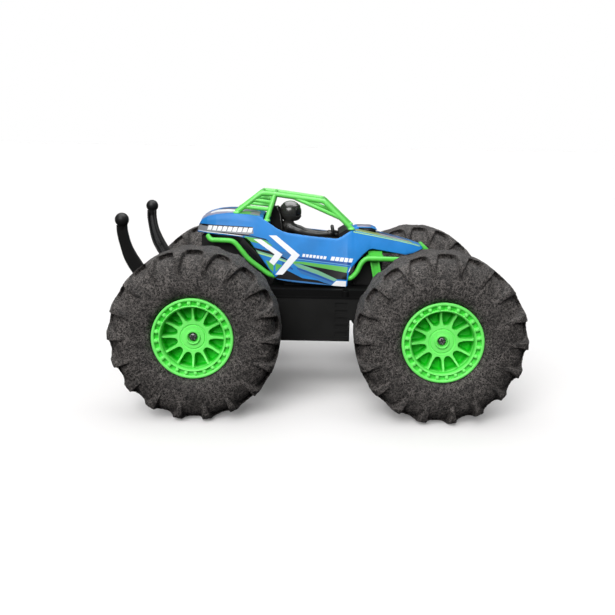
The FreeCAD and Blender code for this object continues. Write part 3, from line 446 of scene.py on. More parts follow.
# carcass and lug-top sections of the tyre, as (offset from the tyre's middle, radius)
CARCASS = [(25.8, 35.6), (28.8, 36.6), (31.6, 39.8), (32.8, 44.6), (32.9, 49.6), (32.2, 54.6),
           (30.7, 59.4), (28.2, 64), (25, 67.5), (21.6, 69.7), (17.8, 70.8), (12.6, 70.6),
           (9.4, 70.8), (8.8, 72), (9.8, 73.2), (11.3, 74), (10.2, 74.5), (5, 74.7), (0, 74.8)]
LUG_TOP = [(25.8, 35.6), (28.8, 36.6), (31.6, 39.8), (32.8, 44.6), (32.9, 49.6), (32.4, 55),
           (32.4, 60.8), (31.9, 65.8), (30.4, 70), (27.4, 72.9), (23, 74.4), (18.4, 74.7),
           (16, 74.8), (14.2, 74.8), (12.6, 74.8), (11.2, 74.8), (10.2, 74.7), (5, 74.8), (0, 74.8)]
# stations along the section: where the crown band begins, and where the lugs' tips end
CROWN_EDGE = 15.0
FINGER_END = 5.2
TREAD_RADIUS = 72.0
# by the distance from the crown edge: how far a lug reaches to its leading and to its trailing side
LUG_RUN = [0.0, 1.2, 3.0, 6.0, 10.0, 14.0, 18.0, 22.0, 27.0]
LUG_LEAD = [13.5, 9.5, 6.6, 4.6, 3.5, 3.0, 2.7, 2.5, 2.1]
LUG_TRAIL = [13.5, 11.0, 9.2, 7.6, 6.6, 5.7, 4.8, 3.8, 2.4]


def around(corner, a, radius, y):
    """Points at an angle round a wheel's axle, from their radii and distances off the car's middle."""
    cx, _, cz, side = WHEELS[corner]
    return np.stack([cx + radius * math.cos(a), side * y, cz + radius * math.sin(a)], 1)


def wheel_skin(name, corner, rows, material, node, slot):
    """A closed skin round a wheel's axle, from the rows of points at each angle."""
    faces = grid_faces(len(rows), len(rows[0]), wrap_rows=True, wrap_columns=True)
    return build(name + corner, np.concatenate(rows), faces, material, "wheel_" + corner,
                 replaces=[node + corner], slot=slot)


def make_tyre(corner):
    """Outer skin with its lugs and crown band, and the inner wall, worked out angle by angle."""
    spans = 6
    low = smooth_curve(CARCASS, spans)
    high = smooth_curve(LUG_TOP, spans)
    station = np.linspace(0, len(CARCASS) - 1, len(low))
    half = len(low)
    low = np.vstack([low, low[-2::-1] * (-1, 1)])
    high = np.vstack([high, high[-2::-1] * (-1, 1)])
    station = np.concatenate([station, station[-2::-1]])
    outer_half = np.arange(len(station)) < half - 1
    reach = np.concatenate([[0], np.cumsum(np.linalg.norm(np.diff(high, axis=0), axis=1))])
    edge = np.interp(CROWN_EDGE, station[:half], reach[:half])
    run = np.minimum(np.abs(edge - reach), np.abs(reach - (reach[-1] - edge)))
    lead = np.interp(run, LUG_RUN, LUG_LEAD)
    trail = np.interp(run, LUG_RUN, LUG_TRAIL)
    tip = smoothstep(FINGER_END, FINGER_END + 0.8, station)
    wobble = RNG.normal(0, 1, (LUGS, 2, 3))
    phases = RNG.uniform(0, 2 * math.pi, 6)
    lining = smooth_curve([(22.8, 35.4), (28.0, 44.0), (29.0, 52.0), (26.4, 60.0), (19.0, 64.6), (0, 68.5),
                           (-19.0, 64.6), (-26.4, 60.0), (-29.0, 52.0), (-28.0, 44.0), (-22.8, 35.4)], 2)
    wall = np.vstack([[(-25.8, 33.4), (-22.8, 33.4)], lining[::-1], [(22.8, 33.4), (25.8, 33.4)]])
    cell = 2 * math.pi / LUGS
    steps = LUGS * 48
    rows = []
    for a in np.arange(steps) * (2 * math.pi / steps):
        index = int(round(a / cell)) % LUGS
        grow, shift, _ = np.where(outer_half, wobble[index, 0, :, None], wobble[index, 1, :, None])
        place = (a - cell * round(a / cell)) * TREAD_RADIUS + 0.35 * shift
        sharp = smoothstep(-0.5, 0.5, lead * (1 + 0.05 * grow) - place)
        gentle = smoothstep(-0.8, 0.8, trail * (1 + 0.05 * grow) + place)
        mask = np.where(station >= CROWN_EDGE, 1.0, sharp * gentle * tip)
        section = low + (high - low) * mask[:, None]
        ripple = sum(0.05 * math.sin(a * k + f) for k, f in zip((17, 29, 47, 71, 96, 131), phases))
        bulge = 0.8 * ripple * np.sign(section[:, 0]) * smoothstep(36, 42, section[:, 1])
        offset = np.append(np.clip(section[:, 0] + bulge, -33.0, 33.0), wall[:, 0])
        radius = np.append(section[:, 1] + ripple * smoothstep(40, 60, section[:, 1]) - 0.12, wall[:, 1])
        rows.append(around(corner, a, radius, abs(WHEELS[corner][1]) + offset))
    wheel_skin("tyre_skin_", corner, rows, "tyre", "tyre_", "tyre_rubber")


SPOKES = 12
HUB_FACE = 120.4
RING_FACE = 127.4


def window_outline(count):
    """Rounded window between two spokes, centred on the sector's middle, as (radius, sideways). It starts at
    the corner that lies nearest to the start of its patch."""
    upper = [(14.1, 1.1), (14.7, 2.1), (15.9, 2.95), (18.2, 3.8), (21.2, 4.75), (24.2, 5.6), (25.8, 5.75),
             (26.7, 4.9), (27.0, 2.8)]
    corners = [(13.9, 0.0)] + upper + [(27.05, 0.0)] + [(r, -y) for r, y in reversed(upper)]
    dense = smooth_curve(corners, 24, closed=True)
    closed = np.vstack([dense, dense[:1]])
    reach = np.concatenate([[0], np.cumsum(np.linalg.norm(np.diff(closed, axis=0), axis=1))])
    targets = np.linspace(0, reach[-1], count, endpoint=False)
    even = np.stack([np.interp(targets, reach, closed[:, 0]), np.interp(targets, reach, closed[:, 1])], 1)
    return np.roll(even, count // 16, axis=0)


def spoke_height(x, y):
    """Height of the spoke face below its hub plane, in the wheel's own plane; y is measured off the window's
    middle line, the ridge of each spoke lying at plus and minus half a sector."""
    r = np.hypot(x, y)
    angle = np.arctan2(y, x)
    off = (math.pi / SPOKES - np.abs(angle)) * r
    crest = np.interp(r, [12.0, 15.0, 19.0, 24.0, 29.0], [9.0, 2.4, 0.85, 0.6, 0.6])
    fall = np.clip(off - crest, 0, None)
    rise = 2.2 * smoothstep(18.5, 26.0, r)
    return rise - np.minimum(0.85 * fall, 2.6)


def make_rim(corner):
    """Spoked disc with a barrel behind it. Each of the twelve sectors is a patch round its window."""
    cx, _, cz, side = WHEELS[corner]
    turn = math.radians(5.0) if corner.startswith("front") else 0.0
    half = math.pi / SPOKES
    quarter = 16
    count = 4 * quarter
    outline = window_outline(count)
    inner_r, outer_r = 12.4, 30.6
    # the patch's edge: inner arc, one radial side, outer arc, the other radial side
    u = np.arange(quarter) / quarter
    same = np.ones(quarter)
    angle = half * np.concatenate([2 * u - 1, same, 1 - 2 * u, -same])
    r = np.concatenate([inner_r * same, inner_r + (outer_r - inner_r) * u, outer_r * same,
                        outer_r - (outer_r - inner_r) * u])
    edge = np.stack([r * np.cos(angle), r * np.sin(angle)], 1)
    rings = []
    for t in np.linspace(0, 1, 9):
        ring = edge * (1 - t) + outline * t
        height = spoke_height(ring[:, 0], ring[:, 1]) - 0.5 * smoothstep(0.86, 1.0, t)
        rings.append(np.column_stack([ring, height]))
    middle = outline.mean(0)
    for sink, shrink in ((0.8, 0.99), (2.4, 0.975), (6.0, 0.95), (9.0, 0.9), (10.0, 0.8), (10.3, 0.5),
                         (10.4, 0.2), (10.4, 0.02)):
        ring = middle + (outline - middle) * shrink
        rings.append(np.column_stack([ring, np.full(count, -sink)]))
    patch = np.vstack(rings)
    faces = grid_faces(len(rings), count, wrap_columns=True)
    body = Assembly()
    for k in range(SPOKES):
        a = math.pi / 2 + half + 2 * half * k + turn
        c, s = math.cos(a), math.sin(a)
        x = patch[:, 0] * c - patch[:, 1] * s
        z = patch[:, 0] * s + patch[:, 1] * c
        body.add(np.column_stack([cx + x, side * (HUB_FACE + patch[:, 2]), cz + z]), faces)
    # hub and boss, as (radius, height off the hub face), then the barrel behind the disc and its front lip
    hub = [(12.4, 0), (11.7, 0.1), (11.2, -0.7), (10.3, -0.75), (9.8, 0.15), (7.6, 0.3), (6.6, 0.3),
           (6.2, 1.5), (5.8, 1.9), (5.0, 1.9), (4.6, 1.5), (4.4, -1.6), (1.7, -1.6)]
    barrel = [(1.7, 106.2), (7.2, 106.2), (7.2, 97.6), (9.4, 97.6), (9.6, 107.0), (12.0, 108.4),
              (20.0, 108.6), (29.0, 108.2), (30.6, 106.0), (30.6, 70.0), (30.9, 69.1), (34.8, 69.2),
              (35.2, 70.2), (34.6, 71.6), (33.0, 73.0), (33.0, 124.1), (30.9, 124.1), (30.6, 123.8),
              (30.6, 121.5),
              (outer_r, HUB_FACE + float(spoke_height(outer_r, 0.0)))]
    profile = [(r, side * (HUB_FACE + y)) for r, y in hub] + [(r, side * y) for r, y in barrel]
    body.lathe(profile, (cx, 0, cz), steps=SPOKES * 16, closed=False, start=turn)
    piece = body.make("rim_" + corner + "_detail", "wheel", "wheel_" + corner,
                      replaces=["rim_" + corner], slot="green_plastic")
    # painted shade down the rim's windows, full at 5 mm below the hub face
    mark_shade_depth(piece, HUB_FACE, side, 0.6, 5.0)
    sharpen(piece, 40)


def make_screw(corner):
    """Pan-head screw deep in the hub, with a cross recess."""
    steps = 72
    turn = {"front_right": 0.3, "front_left": 1.1, "rear_right": 0.75, "rear_left": 0.1}[corner]
    radii = np.array([0.001, 0.25, 0.5, 0.75, 1.0, 1.3, 1.6, 1.9, 2.2, 2.6, 3.0, 3.25, 3.4])
    dome = 121.3 - 0.9 * (radii / 3.4) ** 4
    radius = np.append(radii, [3.4, 1.5, 1.5, 0.001])
    rows = []
    for a in np.arange(steps) * (2 * math.pi / steps):
        across = np.minimum(np.abs(radii * math.sin(a - turn)), np.abs(radii * math.cos(a - turn)))
        slot = smoothstep(0.55, 0.35, across) * smoothstep(2.3, 2.0, radii)
        height = np.append(dome - 1.3 * slot, [119.0, 118.9, 99.2, 99.0])
        rows.append(around(corner, a, radius, height))
    wheel_skin("hub_screw_", corner, rows, "zinc", "wheel_screw_", "steel")


def make_ring(corner):
    """Beadlock ring: raised lips, and a channel with bolt heads and square pockets between them."""
    bolts = 24
    bolt_circle = 30.6
    phase = math.radians(4.5 if corner.startswith("rear") else 8.5)
    steps = bolts * 26
    cell = 2 * math.pi / bolts
    radii = np.array([26.5, 26.7, 27.1, 27.5, 27.8, 28.2, 28.6, 28.9, 29.1, 29.4, 29.8, 30.2, 30.6, 31.0,
                      31.4, 31.8, 32.1, 32.3, 32.6, 32.9, 33.3, 33.8, 34.4, 34.9, 35.2, 35.3])
    base = np.interp(radii, [26.5, 26.7, 27.6, 28.0, 28.6, 29.0, 32.5, 33.0, 33.8, 34.8, 35.3],
                     [-4.2, -3.4, -0.9, -0.2, 0.0, -0.9, -0.9, -0.1, 0.0, -0.1, -1.0])
    back = np.array([(35.3, 124.2), (27.8, 124.2), (26.6, 122.6)])
    radius = np.append(radii, back[:, 0])
    rows = []
    for a in np.arange(steps) * (2 * math.pi / steps):
        local = (a - phase + cell / 2) % cell - cell / 2
        distance = np.hypot(radii - 30.7, local * bolt_circle)
        head = np.where(distance < 1.6, np.sqrt(np.clip(1.6 ** 2 - distance ** 2, 0, None)) * 0.5 + 0.45, 0)
        inside = smoothstep(2.5, 2.2, abs(abs(local) - cell / 2) * bolt_circle)
        well = inside * smoothstep(28.8, 29.1, radii) * smoothstep(32.8, 32.4, radii)
        height = base - 2.6 * well
        height = np.where(head > 0, np.maximum(height, base + head), height)
        face = RING_FACE + np.minimum(height, 0.5)
        rows.append(around(corner, a, radius, np.append(face, back[:, 1])))
    piece = wheel_skin("beadlock_", corner, rows, "wheel", "beadlock_ring_", "green_plastic")
    # painted shade down the ring's wells between the bolts
    mark_shade_depth(piece, RING_FACE, WHEELS[corner][3], 1.1, 4.6)


# ------------------------------------------------------------------ body shell

# side view of the shell: upper and lower edges as (x, z), and half widths along them as (x, y)
UPPER = [(-116, 155.2), (-114.6, 161), (-112, 165.2), (-106, 168.6), (-97, 171.2), (-88, 172.2),
         (-78.6, 172.3), (-66, 171.8), (-57.5, 170.6), (-52.6, 167.8), (-48.1, 165.2), (-41, 160.3),
         (-33.9, 156.8), (-28, 155.3), (-8.3, 152.8), (13, 150.9), (17.3, 150.6), (21, 152),
         (31.3, 158.4), (33.9, 157.2), (50, 154), (65, 151), (80, 147.8), (92, 144.8), (98.6, 142.9),
         (101, 141.6)]
LOWER = [(-116, 154.3), (-97, 153.2), (-76, 151.6), (-68, 150.2), (-64.7, 147.4), (-47.6, 122.8),
         (-40.5, 114), (-38.6, 112), (-26.5, 109.9), (0, 107.8), (27, 105.8), (27.6, 106.4),
         (28, 112.5), (29.3, 119), (32, 124.2), (36.5, 129.6), (43, 136.2), (48, 140.2), (52, 141),
         (62, 139.2), (84, 134.8), (92, 136.2), (101, 140.2)]
UPPER_HALF = [(-116, 20), (-112, 24.5), (-106, 27), (-97, 28.4), (-60, 29.2), (-34, 29), (0, 28),
              (17, 26.8), (31, 25.2), (50, 21.8), (80, 16.6), (101, 11.5)]
# the upper edge as it would run on across the cockpit opening
CREST = UPPER[:9] + [(-50, 168.4), (-40, 166.8), (-20, 164.9), (0, 163)] + UPPER[18:]
LOWER_HALF = [(-116, 21), (-106, 29), (-97, 32.2), (-67, 35), (-47, 37), (-38, 38.2), (27.6, 38.2),
              (36.5, 34.5), (50, 27), (62, 24.6), (84, 19.8), (101, 12.5)]


def along(table, x):
    t = np.asarray(table, float)
    return np.interp(x, t[:, 0], t[:, 1])


# the lower edge with its steep steps averaged out, so that the flank's surface runs smoothly past them
KEEL = [(x, float(np.mean(along(LOWER, x + np.arange(-17, 18, 1.0))))) for x in range(-116, 104, 3)]


def half_width(x, z):
    """Outside half width of the shell's flank at a point of the side view."""
    top = along(CREST, x)
    bottom = along(KEEL, x)
    f = np.clip((top - z) / np.maximum(top - bottom, 0.5), 0, 1)
    straight = along(UPPER_HALF, x) * (1 - f) + along(LOWER_HALF, x) * f
    bulge = (0.4 + 0.7 * smoothstep(-85, -50, x)) * np.sin(np.pi * f) * smoothstep(4.0, 20.0, top - bottom)
    shoulder = 0.2 * np.exp(-((f - 0.22) / 0.1) ** 2)
    shoulder = shoulder * smoothstep(-30, -60, x) * smoothstep(8, 16, top - bottom)
    return np.minimum(straight + bulge + shoulder, 38.55)


def shell_stations():
    """Stations along the car, with every corner of the shell's tables among them."""
    xs = set(np.round(np.arange(-116, 101.1, 1.5), 3))
    for table in (UPPER, LOWER, UPPER_HALF, LOWER_HALF):
        xs |= {round(float(q[0]), 3) for q in table}
    return np.array(sorted(xs))


def make_shell():
    """Both flanks, the rear deck and the hood as one skin that is thickened inwards."""
    xs = shell_stations()
    levels = 18
    flank = []
    for x in xs:
        for z in np.linspace(along(UPPER, x), along(LOWER, x), levels):
            flank.append((x, -half_width(x, z), z))
    body = Assembly().add(flank, grid_faces(len(xs), levels))
    # rear deck and hood: from the flank's upper edge to the centre line
    across = 12
    for low, high in ((-116, -52.6), (31.3, 101)):
        span = xs[(xs >= low - 0.01) & (xs <= high + 0.01)]
        deck = []
        for x in span:
            for y in np.linspace(-along(UPPER_HALF, x), 0, across):
                deck.append((x, y, deck_height(x, y)))
        body.add(deck, grid_faces(len(span), across))
    body.mirror_y()
    piece = body.make("shell", "blue", replaces=["body_shell"], slot="blue_plastic", welded=False)
    weld(piece, 4e-5)
    sharpen(piece, 28)
    wall = piece.modifiers.new("wall", "SOLIDIFY")
    wall.thickness = 1.5 * MM
    wall.offset = -1.0
    wall.use_rim = True


# decals as side-view outlines (x, z), in layers from the paint outwards; the last white line is a painted
# highlight, not print
DECALS = [
    ("navy", [(-26, 131), (29.4, 125), (31.6, 128.4), (0, 131.4), (-19, 133.4)]),
    ("sky", [(-24, 131.3), (29.8, 125.6), (30.2, 126.2), (-22, 132.1)]),
    ("lime", [(-27.6, 129.4), (-15, 129), (0, 127.3), (28.4, 124.4), (26.6, 118.6), (0, 123.9),
              (-17, 126.9), (-24, 127)]),
    ("ink", [(-17.6, 126.9), (0, 123.8), (27.4, 119.2), (27.4, 112.6), (17, 113), (0, 120.9),
             (-12, 124.9)]),
    ("teal", [(-24, 127.2), (-16, 126), (0, 120.9), (18, 112.9), (15.5, 110.9), (0, 117),
              (-19, 123.5)]),
    ("mid_blue", [(-21, 123.9), (0, 117), (15.5, 110.9), (13, 107.2), (0, 112.5), (-16, 117.8)]),
    ("navy", [(-20.6, 123.4), (0, 116.6), (15, 110.9), (14, 109.6), (0, 114.9), (-19.5, 121.8)]),
    ("ink", [(-40.6, 113.8), (-32, 121.8), (-22, 117), (-14.6, 113.4), (0, 111.6), (13, 107.2),
             (0, 108), (-26.5, 110.2), (-38.4, 112.4)]),
    ("mid_blue", [(-40.2, 112.9), (-26.5, 111.7), (0, 109.2), (13, 107.5), (0, 107.9), (-26.5, 110),
                  (-38.4, 112.1)]),
    ("lime", [(-50, 130), (-42.2, 127.4), (-42.4, 119), (-46, 122)]),
    ("lime", [(-40.4, 127), (-34, 125.4), (-40.3, 119.4)]),
    ("navy", [(-34, 128.6), (-24, 122.6), (-24, 121.2), (-34, 125.4)]),
    ("teal", [(-61, 139.8), (-40, 133.9), (-28, 129.2), (-24, 127.2), (-28.4, 127.4),
              (-40, 131.4), (-57.4, 136)]),
    ("pale_lime", [(-59.4, 138), (-40, 132.6), (-28, 128.2), (-28.4, 127.4), (-40, 131.2),
                   (-57.8, 136.2)]),
    ("ink", [(-63.2, 142.2), (-40, 136.9), (-29.6, 131.3), (-27.6, 129.4), (-40, 134.1),
             (-61, 139.8)]),
    ("mid_blue", [(-40, 138.4), (-24.4, 137.4), (-30.2, 131.4), (-40, 136.6)]),
    ("lime", [(-70.6, 152), (-60, 150.6), (-50, 148.4), (-43.4, 143.2), (-66.4, 147.4)]),
    ("ink", [(-72, 153), (-60, 151.9), (-50, 149.8), (-46.6, 147.2), (-50, 148.6),
             (-60, 151)]),
    # two plain chevrons
    ("white", [(-47, 153), (-40, 153), (-17.5, 135), (-33.5, 116.5), (-40.5, 116.5),
               (-25.5, 135)]),
    ("white", [(-61.5, 149.5), (-54.5, 149.5), (-34, 135.5), (-42, 125), (-46.5, 128.5),
               (-41.5, 135.5)]),
    ("white", [(17.4, 111.6), (26.7, 111.4), (26.5, 106.2), (12.6, 106.9)]),
    ("white", [(30.9, 125.4), (30, 121.2), (28.6, 119.6), (28.4, 120.2)]),
    ("pale_lime", [(33, 157.6), (50, 153.9), (65, 150.9), (80, 147.7), (92, 144.7), (98, 142.9),
                   (98, 142.1), (92, 143.9), (80, 146.9), (65, 150.1), (50, 153),
                   (33, 156.4)]),
    ("grey", [(-114.9, 162), (-106.5, 162), (-62.4, 160.2), (-61.6, 154.6), (-71.6, 152.4),
              (-90, 154.3), (-116, 156.2)]),
    ("ink", [(-114.9, 162.3), (-106.5, 162.3), (-62.4, 160.6), (-62.2, 158.4), (-106.5, 160.4),
             (-114.9, 161.2)]),
    ("ink", [(-98, 155.9), (-72, 154), (-60.8, 153), (-71.6, 152.4), (-90, 154.3)]),
    # a thin white line just above the tail's lower edge: a painted highlight of that edge
    ("white", [(-115.9, 156), (-90, 154.3), (-76, 152.9), (-71.6, 152.2), (-71.6, 151.8),
               (-90, 153.8), (-115.9, 155.4)]),
]

# decals on the deck and the hood, in plan (x, y), on the near side; the far side mirrors them
DECK_DECALS = [
    ("lilac", [(-112, -22), (-96, -26.4), (-80, -25.6), (-64, -18), (-60, -8), (-90, -6),
               (-110, -8)]),
    ("white", [(-104, -18), (-84, -22), (-70, -18), (-88, -12), (-103, -11)]),
    ("ink", [(-96, -9), (-60, -10), (-58, -4), (-94, -4)]),
    ("lime", [(-80, -27.6), (-58, -28.4), (-57, -20), (-70, -19)]),
    ("grey", [(-66, -27), (-56.5, -27.4), (-56, -12), (-61, -12)]),
    ("olive", [(35, -20.8), (60, -17.4), (92, -12.6), (88, -6), (58, -9), (36, -13)]),
    ("lilac", [(60, -15.6), (80, -13), (90, -9), (70, -6), (58, -9)]),
    ("ink", [(40, -12), (66, -8), (90, -4), (60, -2), (40, -4)]),
    ("pale_lime", [(33, -22.4), (50, -20.2), (80, -16), (98.5, -11.9), (98.5, -10.9), (80, -14.6),
                   (50, -18.6), (34, -20.8)]),
]


def dash_row(start, end, height, count, slant, fill):
    """A row of plain slanted dashes in place of printed words."""
    (x0, z0), (x1, z1) = start, end
    marks = []
    for k in range(count):
        xa, xb = (x0 + (x1 - x0) * t / count for t in (k, k + fill))
        za, zb = (z0 + (z1 - z0) * t / count for t in (k, k + fill))
        marks.append([(xa, za), (xb, zb), (xb + slant, zb + height), (xa + slant, za + height)])
    return marks


def film(assembly, outline, place):
    """A thin closed film over a flat outline, cut fine and laid on a surface by place(u, v, lift)."""
    work = bmesh.new()
    work.faces.new([work.verts.new((u, v, 0)) for u, v in outline])
    for axis, cuts in enumerate((shell_stations(), np.arange(-40, 176, 2.0))):
        values = [q[axis] for q in outline]
        normal = (1 - axis, axis, 0)
        for cut in cuts[(cuts > min(values)) & (cuts < max(values))]:
            bmesh.ops.bisect_plane(work, geom=work.verts[:] + work.edges[:] + work.faces[:],
                                   plane_co=np.multiply(normal, cut), plane_no=normal, dist=1e-4)
    bmesh.ops.triangulate(work, faces=work.faces[:])
    work.verts.index_update()
    top, base = ([place(v.co.x, v.co.y, lift) for v in work.verts] for lift in (0.015, -0.015))
    count = len(top)
    faces = [[v.index for v in f.verts] for f in work.faces]
    faces += [[i + count for i in reversed(f)] for f in faces]
    for edge in work.edges:
        if len(edge.link_faces) == 1:
            loop = edge.link_loops[0]
            a, b = loop.vert.index, loop.link_loop_next.vert.index
            faces.append([b, a, a + count, b + count])
    work.free()
    assembly.add(top + base, faces)


def on_flank(side, proud):
    def place(x, z, lift):
        x = min(max(x, -115.9), 100.9)
        z = min(max(z, along(LOWER, x) + 0.15), along(UPPER, x) - 0.15)
        return x, side * (half_width(x, z) + proud + lift), z
    return place


def deck_height(x, y):
    """Height of the rear deck (behind the cab) or the hood (ahead of it)."""
    if x < 0:
        crown = 3.4 * np.interp(x, [-116, -110], [0.2, 1.0])
    else:
        crown = 2.2 * np.interp(x, [31, 50, 90, 101], [1.0, 1.0, 0.5, 0.2])
    inner = np.clip(np.abs(y) / along(UPPER_HALF, x), 0.0, 1.0)
    return along(UPPER, x) + crown * (1 - inner ** 2.4)


def on_deck(side, proud):
    def place(x, y, lift):
        y = min(max(y, -along(UPPER_HALF, x) + 0.1), 0.0)
        return x, -side * y, deck_height(x, y) + proud + lift
    return place


def make_decals():
    """One piece for each ink. Every decal lies a little higher than the ones before it in its table."""
    lowest, step = 0.03, 0.006
    layers = {}
    for table, surface in ((DECALS, on_flank), (DECK_DECALS, on_deck)):
        for order, (ink, outline) in enumerate(table):
            layers.setdefault(ink, []).append((outline, surface, lowest + step * order))
    rows = (dash_row((-105.8, 157.0), (-62.6, 155.4), 4.3, 9, 1.5, 0.8),
            dash_row((-15.4, 133.6), (8.0, 131.3), 2.7, 7, 0.7, 0.72),
            dash_row((11.4, 130.5), (32.6, 128.7), 3.6, 5, 1.2, 0.8))
    for marks in rows:
        layers["white"] += [(mark, on_flank, lowest + step * len(DECALS)) for mark in marks]
    for ink, patches in layers.items():
        sheet = Assembly()
        for side in (-1, 1):
            for outline, surface, proud in patches:
                film(sheet, outline, surface(side, proud))
        sharpen(sheet.make("decal_" + ink, ink, slot="blue_plastic"), 40)


def make_scoop():
    """Hood scoop: a thin blue slab over its mouth at the sides and the front, where a solid black block is
    painted shade in place of the opening.
    """
    top = rounded_path([(33.0, 158.4), (36.5, 160.2), (51.5, 160.0), (56.5, 157.9)], 1.5)
    under = [(56.3, 157.2), (51.3, 159.1), (38.8, 159.3), (38.4, 156.6), (33.2, 156.9)]
    slab = Assembly().prism([*top, *under], -11.5, 11.5)
    bevel(slab.make("scoop_slab", "blue", replaces=["hood_scoop"], slot="blue_plastic"), 0.35)
    # a black block under the slab: painted shade for the inside of the scoop's mouth
    mouth = [(38.2, 159.2), (51.0, 159.0), (55.4, 157.4), (54.6, 154.0), (38.2, 156.0)]
    Assembly().prism(mouth, -11.0, 11.0).make("scoop_mouth_painted_shade", "ink", slot="blue_plastic")
    label = [(37.5, 160.35), (51.0, 160.2), (51.0, 160.1), (37.5, 160.2)]
    Assembly().prism(label, -10.4, 10.4).make("scoop_label", "lilac", slot="blue_plastic")


def make_bumper():
    """Green nose bar: a bent frame with a window, sloping down ahead of the hood."""
    bend = rounded_path([(99.8, 143.2), (102.6, 143.8), (110.4, 136.4), (108.8, 134.0)], 0.8)
    bar = Assembly()
    for low, high in ((-13.0, -9.2), (9.2, 13.0)):
        bar.prism([*bend, (102.4, 136.8), (101.4, 140.2)], low, high)
    bar.prism([(99.8, 142.8), (102.6, 143.4), (104.4, 141.4), (102.6, 139.6), (101.4, 140.4)], -9.3, 9.3)
    bar.prism([(106.6, 139.6), (110.2, 136.2), (108.8, 134.2), (105.6, 136.2)], -9.3, 9.3)
    bevel(bar.make("nose_bumper", "green", replaces=["front_bumper"], slot="green_plastic"), 0.4)


def make_liner():
    """Black trim inside the shell's flanks, up to the cockpit's edge."""
    xs = np.arange(-46.0, 29.1, 1.5)
    rows = []
    for x in xs:
        top = along(UPPER, x) - 0.25
        for z, inset in ((top, 1.55), (top, 2.25), (top - 9.0, 2.25), (top - 9.0, 1.55)):
            rows.append((x, -(half_width(x, z) - inset), z))
    trim = Assembly().add(rows, skin_faces(len(xs), 4)).mirror_y()
    trim.make("cockpit_trim", "black", slot="black_plastic")


# ------------------------------------------------------------------ cage and tubes

def both(points):
    """A path and its mirror image on the other side of the car."""
    return [points, [(x, -y, z) for x, y, z in points]]


def make_cage():
    """Roll cage of round tubes, with a flanged foot under each end."""
    rail = [(-78, -24.5, 173.6), (-55.0, -20, 191.6), (-42.4, -19, 190.6), (4.5, -17.5, 184.6),
            (31, -22.5, 159.6)]
    pillar = [(-49.6, -25.5, 166.6), (-42.4, -19, 190.6)]
    braces = [[(-24.0, -18.3, 187.6), (22, -20.8, 168.4)], [(-62.6, -21.4, 185.4), (-44.8, -20.6, 182.8)],
              [(-71.4, -22.8, 178.8), (-47, -22.4, 176.4)]]
    foot = [(0.01, 0), (3.4, 0), (3.6, 0.8), (3.0, 1.8), (2.2, 2.2), (0.01, 2.3)]
    cage = Assembly()
    for points, radius, bend in [(rail, 2.35, 3.0), (pillar, 2.3, 4.0)] + [(b, 1.9, 4.0) for b in braces]:
        for path in both(points):
            cage.tube(path, radius, bend)
    for x, y, z in rail[1:4]:
        cage.tube([(x, y, z), (x, -y, z)], 2.1)
    cage.tube([(-78, -24.5, 174.6), (-78, 24.5, 174.6)], 1.9)
    for x, y, z in (rail[0], rail[4], pillar[0]):
        for side in (-1, 1):
            cage.lathe(foot, (x, side * abs(y), z - 1.2), axis="z", steps=20, closed=False)
    cage.make("roll_cage_tubes", "cage", replaces=["roll_cage"], slot="green_plastic")


def make_side_tubes():
    path = [(-105, -30, 151.4), (-102, -33, 147.9), (-80.3, -34, 147.6), (-65.8, -34, 129.9),
            (-45.3, -33.6, 114.9), (22.3, -33.6, 113.6), (31, -33.6, 113), (36.4, -33.6, 118.5),
            (41, -32, 128.3), (45.6, -31, 132.2), (80, -28, 131.4)]
    for name, route in zip(("right", "left"), both(path)):
        Assembly().tube(route, 2.4, 5.0).make("side_tube_" + name, "green", replaces=["tube_frame_" + name],
                                              slot="green_plastic")


# ------------------------------------------------------------------ arms

